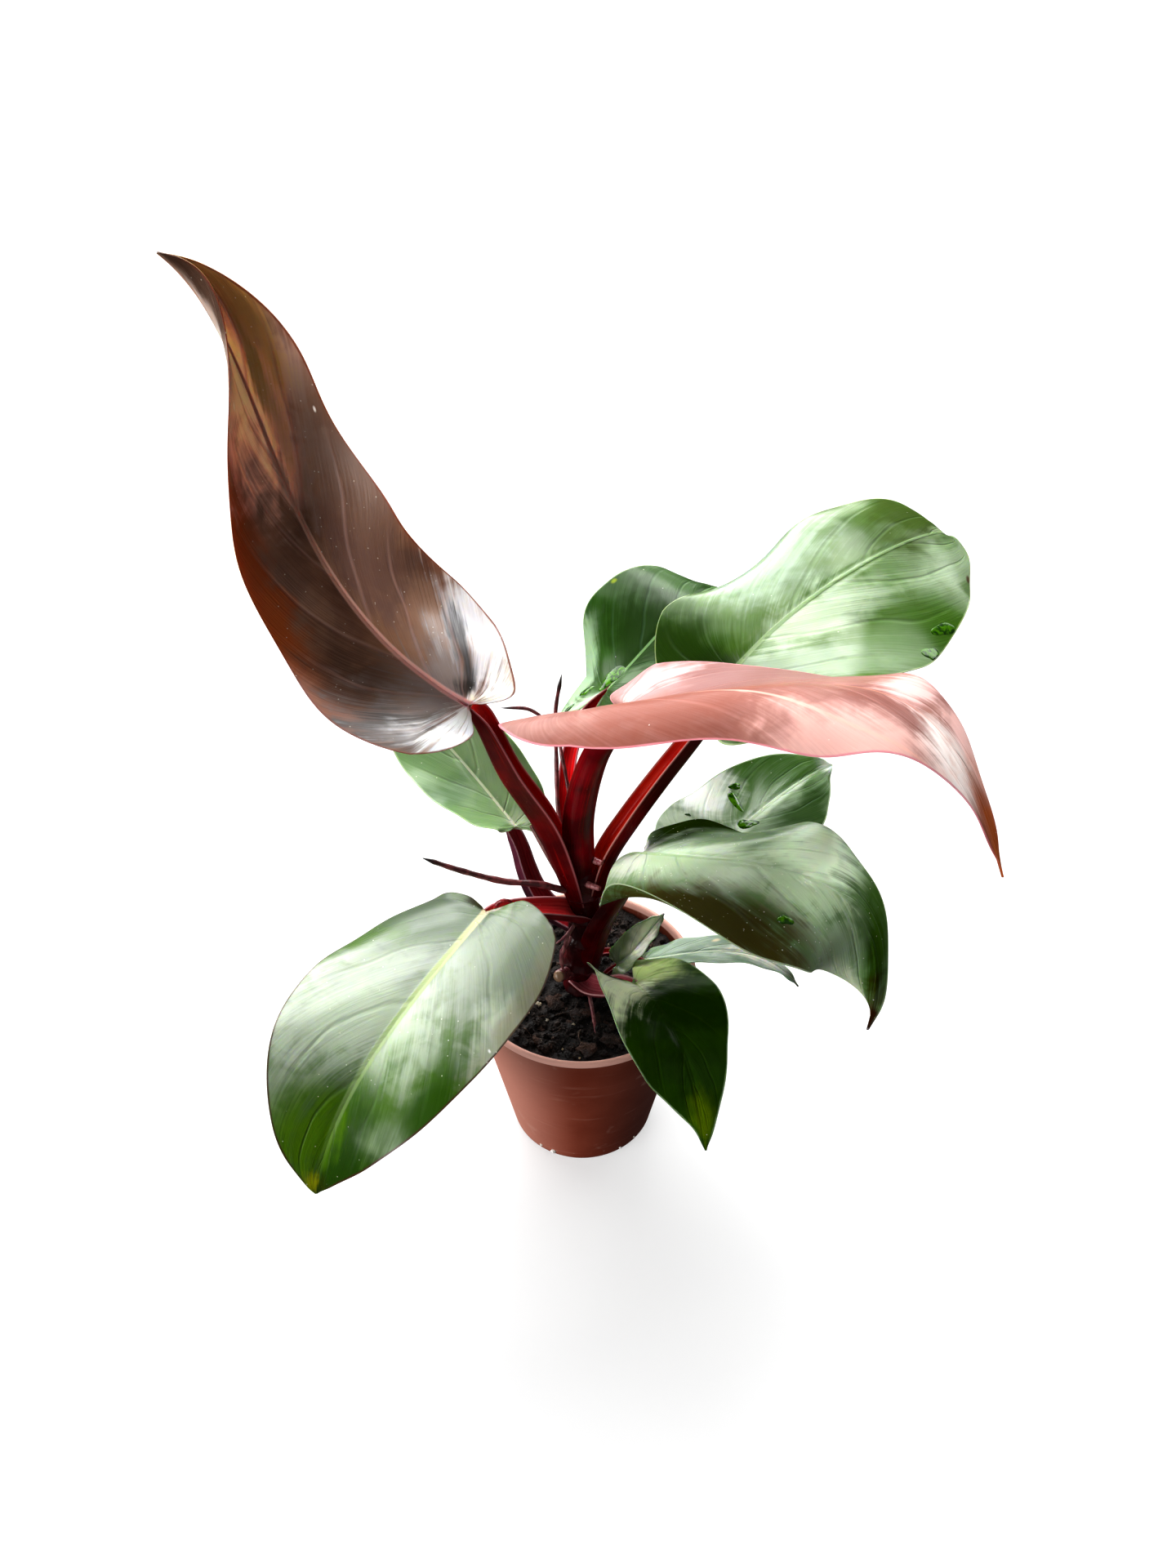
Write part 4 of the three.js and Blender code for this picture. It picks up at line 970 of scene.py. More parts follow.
            Wash(0x36461E, (-0.3, 0.05), (1.1, 0.16), 0.95, 0.4),
            Wash(0x3E2214, (0, 1.0), (1.5, 0.1), 0.95),
            Wash(0xE8DCAC, (-0.7, 0.6), (0.12, 0.015), 0.8, 0.0),
        )),
    "small": LeafFinish(
        # Painted light: the body is lighter than the leaf's own green to make up for the shade it
        # stands in, and the near-white wash over its upper half is painted light too.
        Slot.PALE_GREEN_LEAF, body=0x7C8E66, deep=0x64784E, veil=0xA0B096, vein=0x9CB292,
        rib=(0x7A8A68, 0xC0CCB2), margin=0x8FA284, under=0x7E9A56, rib_width=(1.4, 0.7), veins=5,
        coat=0.9,
        washes=(Wash(0xFFFFF0, (-0.3, 0.84), (1.3, 0.3), 0.97, 0.2, -0.12),)),
}


# Leaf blades


@dataclass
class Blade:
    """One leaf blade, heart-shaped at its base, with a drip tip."""

    name: str
    plan: LeafPlan
    finish: LeafFinish
    thickness: float = 0.8
    edge_thickness: float = 0.4
    ridge: float = 1.6
    groove: float = 0.35
    trough: float = 0.6
    ripple: float = 0.5
    ripples: float = 6.3
    columns: int = 64
    rows: int = 112

    def midrib(self, along: Array) -> tuple[Array, Array]:
        """Points and directions of the midrib, which runs on straight behind the base.

        Args:
            along: places from 0 at the base to 1 at the tip.

        Returns:
            The points and the directions.
        """
        p0, p1, p2, p3 = (np.array(p, float) for p in self.plan.midrib)
        v = np.maximum(along, 0)[:, None]
        point = (1 - v) ** 3 * p0 + 3 * v * (1 - v) ** 2 * p1 + 3 * v**2 * (1 - v) * p2 + v**3 * p3
        slope = 3 * (1 - v) ** 2 * (p1 - p0) + 6 * v * (1 - v) * (p2 - p1) + 3 * v**2 * (p3 - p2)
        return point + slope * (along[:, None] - v), unit(slope)

    def frame_at(self, along: Array) -> tuple[Array, Array, Array, Array]:
        """The midrib's point and direction with the blade's right and upward ways there.

        Args:
            along: places from 0 at the base to 1 at the tip.

        Returns:
            Points, directions, rightward ways and upward ways.
        """
        point, heading = self.midrib(along)
        face = np.array(self.plan.face, float)
        normal = unit(face - (heading @ face)[:, None] * heading)
        side = np.cross(heading, normal)
        roll = np.radians(along_blend(self.plan.roll, along))[:, None]
        return (point, heading, side * np.cos(roll) - normal * np.sin(roll),
                normal * np.cos(roll) + side * np.sin(roll))

    def reach(self, across: Array, vein: Array) -> Array:
        """Half width on that side where each side vein ends, in millimetres."""
        plan = self.plan
        trims = (plan.trim_left, plan.trim_right)
        left, right = (spline(np.array(trim)[:, None], vein)[:, 0] for trim in trims)
        share = spline(OUTLINE, vein)[:, 0] * np.where(across > 0, right, left)
        return np.maximum(share, TIP_WIDTH / plan.width) * plan.width / 2

    def middle(self, across: Array, vein: Array) -> Array:
        """Points of the blade's middle surface.

        Args:
            across: -1 at the left margin to 1 at the right.
            vein: the place in the order of the side veins, 0 to 1.

        Returns:
            Points in millimetres.
        """
        plan, edge, share = self.plan, spline(OUTLINE, vein), np.abs(across)
        lobes = np.where(across > 0, plan.lobes[1], plan.lobes[0])
        margin = np.where(edge[:, 1] < 0, edge[:, 1] * lobes, edge[:, 1])
        along = edge[:, 2] + (margin - edge[:, 2]) * share ** (1.6 - 0.3 * edge[:, 2])
        point, _, right, up = self.frame_at(along)
        out = across * self.reach(across, vein)
        part = np.abs(out) / (plan.width / 2)
        on_right = across > 0
        fold = np.where(on_right, along_blend(plan.fold_right, along), along_blend(plan.fold_left, along))
        curl = np.where(on_right, along_blend(plan.curl_right, along), along_blend(plan.curl_left, along))
        lift = np.radians(fold + curl * part**2 / 3)
        height, phase_right, phase_left = plan.wave
        turn = 2 * np.pi * (2 * along + np.where(on_right, phase_right, phase_left))
        lobe_lift = np.where(on_right, plan.lobe_lift[1], plan.lobe_lift[0])
        lobe_lift = lobe_lift * np.clip(1 - vein / 0.2, 0, 1) ** 2
        rise = np.abs(out) * np.sin(lift) + part * lobe_lift + height * part**2 * np.sin(turn)
        return point + right * (out * np.cos(lift))[:, None] + up * rise[:, None]

    def normal(self, across: Array, vein: Array) -> Array:
        """The way that the upper side looks, at places as in middle()."""
        step = 0.004
        low, high = np.clip(across - step, -1, 1), np.clip(across + step, -1, 1)
        near, far = np.clip(vein - step, 0, 1), np.clip(vein + step, 0, 1)
        sideways = self.middle(high, vein) - self.middle(low, vein)
        onward = self.middle(across, far) - self.middle(across, near)
        return unit(np.cross(sideways, onward))

    def relief(self, across: Array, vein: Array) -> Array:
        """How far the upper side rises between its veins, in millimetres."""
        out = across * self.reach(across, vein)
        share = np.abs(across)
        order = (vein - self.finish.sweep * share) * self.finish.veins + np.sign(across) * 0.25
        swell = self.finish.quilt * (0.5 + 0.5 * np.cos(2 * np.pi * order))
        swell *= np.clip(share * 6, 0, 1) * (1 - share**3)
        swell *= np.clip((1 - vein) * 6, 0, 1) * np.clip(vein * 8, 0, 1)
        start, end = self.finish.rib_width
        rib = ((1 - vein) * (start - end) + end) / 2
        groove = self.groove * np.exp(-((out / rib) ** 2)) - self.trough * np.exp(-((out / (2.2 * rib)) ** 2))
        phase = 2 * np.pi * (self.ripples * vein + np.where(across > 0, 0.1, 0.55))
        return swell + groove * np.clip((1 - vein) * 8, 0, 1) + self.ripple * share**4 * np.sin(phase)

    def build(self) -> Piece:
        """Models the blade: a thickened grid, laid on the leaf's surface."""
        sheet = grid_sheet(f"leaf_{self.name}", self.columns, self.rows)[0]
        apply_modifier(sheet, "SOLIDIFY", thickness=0.01, offset=0.0, material_offset=1)
        flat = read_corners(sheet)
        even = 2 * flat[:, 0]
        across = 0.45 * even + 0.55 * even**3
        vein = flat[:, 1] + 0.5
        on_top = flat[:, 2] > 0
        middle, normal = self.middle(across, vein), self.normal(across, vein)
        swelling = (self.thickness - self.edge_thickness) * (1 - np.abs(across) ** 10)
        half = (self.edge_thickness + swelling) / 2
        relief = self.relief(across, vein)
        out = across * self.reach(across, vein)
        rib = 0.9 + 1.5 * (1 - vein)
        ridge = self.ridge * (1 - vein) * np.exp(-((out / rib) ** 2))
        offset = np.where(on_top, half + relief, relief - half - ridge)
        write_corners(sheet, (middle + normal * offset[:, None]) * MM)
        write_uv(sheet, 0.5 + 0.5 * across, vein)
        rear = np.linalg.norm(middle - self.middle(across, np.zeros_like(vein)), axis=1)
        edge = np.minimum((1 - np.abs(across)) * self.reach(across, vein), rear)
        keep_attribute(sheet, "leaf_lay", np.stack([out, edge, rear], 1))
        smooth(sheet)
        return sheet

    def dress(self, sheet: Piece) -> None:
        """Gives the blade its two finishes and puts it on the plant."""
        finish = self.finish
        install(sheet, finish.slot, (f"blade_{self.name}",), finish.upper(self.name), finish.lower(self.name))


@dataclass(frozen=True)
class Drop:
    """Water lying on a blade: a low dome that follows the leaf's surface.

    at is its place in the blade's two numbers, size its half length and half width,
    height its rise and sink how far it goes into the leaf, all in millimetres, and turn the
    angle of its long axis in degrees.
    """

    name: str
    leaf: str
    at: Pair
    size: Pair
    height: float
    turn: float
    seed: int
    sink: float = 0.1

    def build(self, blade: Blade) -> Piece:
        """Models the drop: a flattened ball with an uneven rim, laid on that blade."""
        deselect_all()
        bpy.ops.mesh.primitive_uv_sphere_add(segments=40, ring_count=20, radius=1.0)
        drop = bpy.context.active_object
        drop.name = drop.data.name = self.name
        ball = read_corners(drop)
        angle = np.arctan2(ball[:, 1], ball[:, 0])
        uneven = 1 + 0.16 * np.sin(2 * angle + self.seed) + 0.12 * np.sin(3 * angle + 2.1 * self.seed)
        turn = math.radians(self.turn)
        long, wide = ball[:, 0] * uneven * self.size[0], ball[:, 1] * uneven * self.size[1]
        sideways = long * math.cos(turn) - wide * math.sin(turn)
        onward = long * math.sin(turn) + wide * math.cos(turn)
        across, vein = (np.array([c]) for c in self.at)
        step = 0.01
        slope_across, slope_along = (
            (blade.middle(across + a, vein + b) - blade.middle(across - a, vein - b))[0] / (2 * step)
            for a, b in ((step, 0), (0, step)))
        first = unit(slope_across)
        second = np.cross(blade.normal(across, vein)[0], first)
        along = onward / float(slope_along @ second)
        side = (sideways - float(slope_along @ first) * along) / float(slope_across @ first)
        spot_across = np.clip(across + side, -0.99, 0.99)
        spot_vein = np.clip(vein + along, 0.01, 0.99)
        rise = blade.relief(spot_across, spot_vein) + blade.thickness / 2 - self.sink
        rise += ball[:, 2] * np.where(ball[:, 2] > 0, self.height, self.sink)
        lifted = blade.normal(spot_across, spot_vein) * rise[:, None]
        write_corners(drop, (blade.middle(spot_across, spot_vein) + lifted) * MM)
        smooth(drop, 80)
        return drop

    def dress(self, drop: Piece) -> None:
        """Gives the drop the clear green of water over a leaf and puts it on the plant."""
        paint = Paint(f"water_{self.name}")
        cloud = paint.cloud(paint.place(), 420, 3, 0.4)
        colour = paint.mix(cloud.within(0.4, 0.62), 0x1C4204, 0x4E8408)
        install(drop, FINISHES[self.leaf].slot, (), paint.surface(
            colour, cloud * 0.04 + 0.03, cloud, 0.0002, Specular_IOR_Level=0.15, Coat_Weight=0.35,
            Coat_Roughness=0.03))


DROPS = (
    Drop("drop_right", "right", (0.53, 0.62), (3.1, 2.5), 1.3, 80, 1),
    Drop("drop_upper_right_high", "upper_right", (0.9, 0.6), (6.0, 3.4), 0.5, 55, 2),
    Drop("drop_upper_right_low", "upper_right", (0.95, 0.54), (5.5, 4.0), 0.5, 60, 3),
    Drop("drop_right_back_long", "right_back", (-0.42, 0.58), (9.0, 2.0), 0.7, -8, 4),
    Drop("drop_right_back_side", "right_back", (-0.66, 0.61), (3.6, 2.0), 0.7, 60, 5),
    Drop("drop_right_back_round", "right_back", (0.02, 0.53), (5.5, 3.6), 0.9, 20, 6),
    Drop("drop_right_back_small", "right_back", (-0.7, 0.41), (1.6, 1.2), 0.6, 0, 7),
    Drop("drop_upper_back_high", "upper_back", (-0.15, 0.25), (8.0, 5.0), 0.8, 70, 8),
    Drop("drop_upper_back_left", "upper_back", (-0.6, 0.2), (5.5, 2.6), 0.9, 10, 9),
    Drop("drop_upper_back_low", "upper_back", (-0.85, 0.14), (3.4, 2.0), 0.8, 40, 10),
)


# Petioles, stem and roots


@dataclass(frozen=True)
class StalkFinish:
    """The colours of a channelled stalk: back and its flush, channel and its glow, and lip."""

    back: int
    flush: int
    channel: int
    # glow is painted light: the channel lit from behind, shining through
    glow: int
    # lip is a painted highlight along the edges of the channel
    lip: int
    slot: Slot = Slot.PETIOLE
    roughness: float = 0.32

    def material(self, name: str) -> Material:
        """The stalk's material, which reads stalk_lay: channel, lip and length in millimetres."""
        paint = Paint(name)
        around = paint.uv()[0]
        channel, lip, run = paint.attribute("stalk_lay")
        lines = paint.cloud(paint.vector(around * 60, run * 0.02, 0.0), 1.0, 3)
        cloud = paint.cloud(paint.place(), 60, 3)
        # the channel's glow streaks are painted light shining through the stalk
        inside = paint.mix((lines * 0.6 + cloud * 0.4).within(0.4, 0.62), self.channel, self.glow)
        colour = paint.layered(
            self.back,
            (cloud.within(0.35, 0.68), self.flush),
            (channel.within(0.25, 0.75), inside),
            # painted glow streaks along the whole stalk
            (lines.within(0.55, 0.75) * 0.35, self.glow),
            # painted highlight: the pale lip along the channel's edges
            (lip.within(0.62, 1.0) * 0.75, self.lip),
            (paint.dots(paint.place(), 700, 0.22, 0.03) * 0.35, self.lip),
        )
        return paint.surface(
            colour, cloud * 0.2 + (self.roughness - 0.1), lines * 0.6 + cloud * 0.4, 0.0004,
            Specular_IOR_Level=0.06, Coat_Weight=0.14, Coat_Roughness=0.12)


# In each stalk finish the fourth colour is painted glow and the fifth a painted lip highlight.
MAROON_STALK = StalkFinish(0x4C0006, 0x7C0010, 0x8C000A, 0xC01418, 0xB0686E)
DRY_STALK = StalkFinish(0x6A4A48, 0x8A6A66, 0x4A3A2E, 0x5E4E38, 0xA89088, Slot.DRY_SHEATH, 0.6)
LEAF_STALKS = {
    "front_left": StalkFinish(0x701018, 0x9A1A24, 0xC02A30, 0xD84A48, 0xD8A0A4),
    "copper": StalkFinish(0x480003, 0x680206, 0x9A0404, 0xAC140C, 0xB87074),
    "upper_right": StalkFinish(0x480004, 0x6C0408, 0xB01204, 0xC43414, 0xC08880),
    "front_right": StalkFinish(0x5A1420, 0x7A2A34, 0xA03A48, 0xC06A72, 0xE0B0B0),
    "left_back": StalkFinish(0x4A1E2E, 0x6A3242, 0x8A1420, 0xA82A34, 0xC9A0A8),
}


@dataclass
class Petiole:
    """A channelled leaf stalk, from the stem to the underside of its blade."""

    name: str
    plan: PetiolePlan
    finish: StalkFinish
    end: tuple[Triple, ...]
    stands_for: str
    wing_edge: float = 0.9
    fineness: int = 3
    rows: int = 72

    def section(self, share: Array, cap: Array) -> tuple[Array, Array, Array]:
        """Corners of the stalk's section at each place.

        Args:
            share: places from 0 to 1 where the plan's sizes are read.
            cap: how far the section has closed under the blade, from 0 to 1.

        Returns:
            Corners by place, and for each corner its share of channel and of lip.
        """
        plan, edge = self.plan, self.wing_edge
        open_share = np.clip(1 - 3.5 * cap, 0, 1)
        half = along_blend(plan.half, share) * (1 - 0.55 * cap)
        depth = along_blend(plan.depth, share) * (1 - 0.7 * cap)
        right = along_blend(plan.wing_right, share) * open_share + 0.1
        left = along_blend(plan.wing_left, share) * open_share + 0.1
        floor = -0.25 * depth * open_share
        angles = np.radians(np.linspace(180, 360, 13))
        back = [(half * math.cos(a), depth * math.sin(a)) for a in angles]
        right_side, left_side = (
            [(half * 1.03, wing * 0.55), (half * 1.02, wing - 0.2), (half * 1.02 - edge / 2, wing),
             (half * 1.02 - edge, wing - 0.3), (half * 0.8 - 0.3, wing * 0.4 - 0.1),
             (half * 0.5, floor * 0.55), (half * 0.22, floor * 0.93)] for wing in (right, left))
        corners = back + right_side + [(0 * half, floor)] + [(-x, y) for x, y in reversed(left_side)]
        channel, lip = (
            np.array([0] * len(back) + side + [middle] + side[::-1], float)
            for side, middle in (([0, 0, 0.4, 0.9, 1, 1, 1], 1), ([0.15, 0.9, 1, 0.9, 0, 0, 0], 0)))
        return np.stack([np.stack(c, 1) for c in corners], 1), channel, lip

    def build(self) -> Piece:
        """Models the stalk: a grid rolled into its channelled section along its route."""
        route = Route(self.plan.route + self.end)
        reach = Route(self.plan.route + self.end[:1]).length / route.length
        place = np.linspace(0, 1, self.rows + 1)
        share = np.minimum(place / reach, 1)
        closing = 0.95 * reach
        cap = np.clip((place - closing) / max(1 - closing, 1e-6), 0, 1) * (len(self.end) > 1)
        corners, channel, lip = self.section(share, cap)
        rows, count = corners.shape[:2]
        spots = np.arange(count * self.fineness + 1) / self.fineness
        ring = closed_ring(corners, spots)
        channel, lip = (np.interp(spots, np.arange(count + 1), np.append(m, m[0])) for m in (channel, lip))
        sheet, u, v = grid_sheet(self.name, len(spots) - 1, rows - 1)
        column = np.rint(u * (len(spots) - 1)).astype(int)
        row = np.rint(v * (rows - 1)).astype(int)
        centre, side, rise = route.frames(place, self.plan.adaxial)
        flat = ring[row, column]
        write_corners(sheet, (centre[row] + side[row] * flat[:, :1] + rise[row] * flat[:, 1:]) * MM)
        keep_attribute(sheet, "stalk_lay", np.stack([channel[column], lip[column], v * route.length], 1))
        close_tube()
        smooth(sheet, 60)
        return sheet

    def dress(self, sheet: Piece) -> None:
        """Gives the stalk its finish and puts it on the plant."""
        install(sheet, self.finish.slot, (self.stands_for,), self.finish.material(f"{self.name}_skin"))


@dataclass(frozen=True)
class RootPlan:
    """A round root: its route and its thickness at start and tip."""

    name: str
    route: tuple[Triple, ...]
    radius: Pair
    stands_for: tuple[str, ...] = ()
    pointed: bool = True


AERIAL_ROOTS = (
    RootPlan("aerial_root_left_long",
             ((-8, -7, 176), (-20, -10, 183), (-37, -14, 189), (-57, -20, 202), (-72, -25, 214)),
             (1.8, 1.1), ("aerial_root_left",)),
    RootPlan("aerial_root_short_back",
             ((-6, 19, 216), (-9, 26, 231), (-12, 32, 242), (-24, 37, 252), (-38, 36, 254)),
             (0.9, 0.8), ("aerial_root_short",)),
    RootPlan("aerial_root_upright_back",
             ((-7, 9, 186), (-11, 17, 204), (-12, 29, 232), (-12, 34, 254), (-9, 36, 273)),
             (1.1, 0.9), ("aerial_root_upright",)),
)
STEM_ROOTS = (
    RootPlan("stem_root_thin_left", ((-3, -5, 152), (-7, -9, 146), (-10, -11, 131)), (1.0, 0.8)),
    RootPlan("stem_root_thin_nub", ((-4, -6, 150), (-9, -11, 147), (-14, -12, 143)), (0.9, 0.7)),
    RootPlan("stem_root_hanging", ((-5, -4, 141), (-10, -9, 134), (-9, -12, 121)), (1.3, 0.9)),
    RootPlan("stem_root_to_soil", ((1, -4, 112), (4, -13, 106), (6, -26, 105), (8, -38, 100)), (1.2, 0.8)),
    RootPlan("stem_nub_high", ((0, -3, 178), (5, -9, 181), (9, -12, 182)), (1.8, 1.4), pointed=False),
    RootPlan("stalk_nub", ((5, -1, 191), (8, -5, 193), (10, -7, 194)), (1.7, 1.3), pointed=False),
)
STEM_STUB = RootPlan("stem_stub", ((-3, -3, 116), (-9, -9, 119), (-12, -15, 123)), (3.0, 3.1), pointed=False)
RED_CURL = RootPlan("stalk_curl", ((-41, -20, 177), (-39, -20, 181), (-35, -20, 182), (-31, -19, 178)),
                    (1.1, 0.8))

# Each group with its slot, and its skin's name, main colour, flush and tip
ROOT_GROUPS = (
    (AERIAL_ROOTS, Slot.AERIAL_ROOT, ("root_maroon", 0x4A1A1E, 0x7A3A3C, 0x140608)),
    (STEM_ROOTS, Slot.STEM, ("root_pink", 0x8A4A50, 0xB07A78, 0x9A5A58)),
    ((STEM_STUB,), Slot.STEM, ("root_cut", 0x6A2A30, 0x8A4A4C, 0x9A7E64)),
    ((RED_CURL,), Slot.STEM, ("root_red", 0x7A0A14, 0xA82028, 0x7A0A14)),
)


def root_skin(name: str, base: int, flush: int, tip: int) -> Material:
    """The material of a root, streaked all over and darker or lighter at its tip.

    Args:
        name: the material's name.
        base: its main colour.
        flush: the colour that it is streaked with.
        tip: the colour of its last stretch.

    Returns:
        The material.
    """
    paint = Paint(name)
    along = paint.uv()[1]
    cloud = paint.cloud(paint.place(), 260, 3)
    colour = paint.layered(base, (cloud.within(0.4, 0.65), flush), (along.within(0.86, 0.97), tip))
    return paint.surface(colour, cloud * 0.2 + 0.28, cloud, 0.0003, Coat_Weight=0.2, Coat_Roughness=0.2)


@dataclass
class Root:
    """A round root or stub."""

    plan: RootPlan
    sides: int = 16
    rows: int = 60
    section_up: Triple = (0.31, 0.2, 0.93)

    def build(self) -> Piece:
        """Models the root: a grid rolled round its route, uneven and closed at its tip."""
        route = Route(self.plan.route)
        place = np.linspace(0, 1, self.rows + 1)
        centre, side, rise = route.frames(place, self.section_up)
        start, end = self.plan.radius
        radius = start + (end - start) * place
        radius *= 1 + 0.07 * np.sin(place * 23 + start * 9) + 0.05 * np.sin(place * 57 + end * 5)
        left = (1 - place) * route.length
        if self.plan.pointed:
            radius *= np.clip(0.12 + left / 7, 0.12, 1)
        else:
            radius *= np.clip(0.7 + left / 3, 0.7, 1) * np.where(place > 0.999, 0.05, 1)
        sheet, u, v = grid_sheet(self.plan.name, self.sides, self.rows)
        row = np.rint(v * self.rows).astype(int)
        turn = 2 * np.pi * u
        ring = side[row] * np.cos(turn)[:, None] + rise[row] * np.sin(turn)[:, None]
        write_corners(sheet, (centre[row] + ring * radius[row][:, None]) * MM)
        close_tube()
        smooth(sheet)
        return sheet


@dataclass
class Stem:
    """The main stem: a slightly leaning column, swollen and ringed at its nodes."""

    foot: float = 70
    top: float = 186
    lean: Pair = (3, 1)
    radius: float = 8
    node_rise: float = 1.3
    nodes: int = 7
    sides: int = 64
    rows: int = 220

    def build(self) -> Piece:
        """Models the stem with a leaf scar at every node."""
        rise = self.top - self.foot
        steps = ((0, 0), (0, 0.4), (0.4, 0.7), (0.3, 1))
        route = Route([(self.lean[0] * out, self.lean[1] * out, self.foot + up * rise) for out, up in steps])
        place = np.linspace(0, 1, self.rows + 1)
        centre, side, up = route.frames(place, (0, 1, 0))
        sheet, u, v = grid_sheet("main_stem", self.sides, self.rows)
        row = np.rint(v * self.rows).astype(int)
        turn = 2 * np.pi * u
        tilt = 0.012 * np.sin(turn + 5 * np.floor(self.nodes * v + 0.5))
        phase = self.nodes * (v + tilt)
        swell = self.node_rise * np.maximum(0, np.cos(2 * np.pi * phase)) ** 2
        scar = 0.5 * np.exp(-(((phase + 0.5) % 1 - 0.5) / 0.035) ** 2)
        close = np.where(v > 0.93, 1 - 0.5 * ((v - 0.93) / 0.07) ** 2, 1)
        size = (self.radius + swell + scar + 0.15 * np.sin(9 * turn + 20 * v)) * close
        ring = side[row] * np.cos(turn)[:, None] + up[row] * np.sin(turn)[:, None]
        write_corners(sheet, (centre[row] + ring * size[:, None]) * MM)
        close_tube()
        smooth(sheet)
        return sheet

    def dress(self, sheet: Piece) -> None:
        """Gives the stem its dark maroon bark and puts it on the plant."""
        paint = Paint("stem_bark")
        where = paint.place()
        x, y, z = paint.parts(where)
        cloud = paint.cloud(where, 90, 4)
        lines = paint.cloud(paint.vector(x * 420, y * 420, z * 30), 1.0, 2)
        rings = paint.cloud(paint.vector(x * 8, y * 8, z * 330), 1.0, 2)
        colour = paint.layered(
            0x320004,
            (cloud.within(0.35, 0.7), 0x54040C),
            (rings.within(0.58, 0.72) * 0.35, 0x7A3A3C),
            (paint.dots(where, 500, 0.25, 0.1) * 0.5, 0xA07A70),
        )
        install(sheet, Slot.STEM, ("stem",), paint.surface(
            colour, cloud * 0.25 + 0.25, lines * 0.6 + rings * 0.5, 0.0006,
            Specular_IOR_Level=0.2, Coat_Weight=0.2))


# Pot and soil


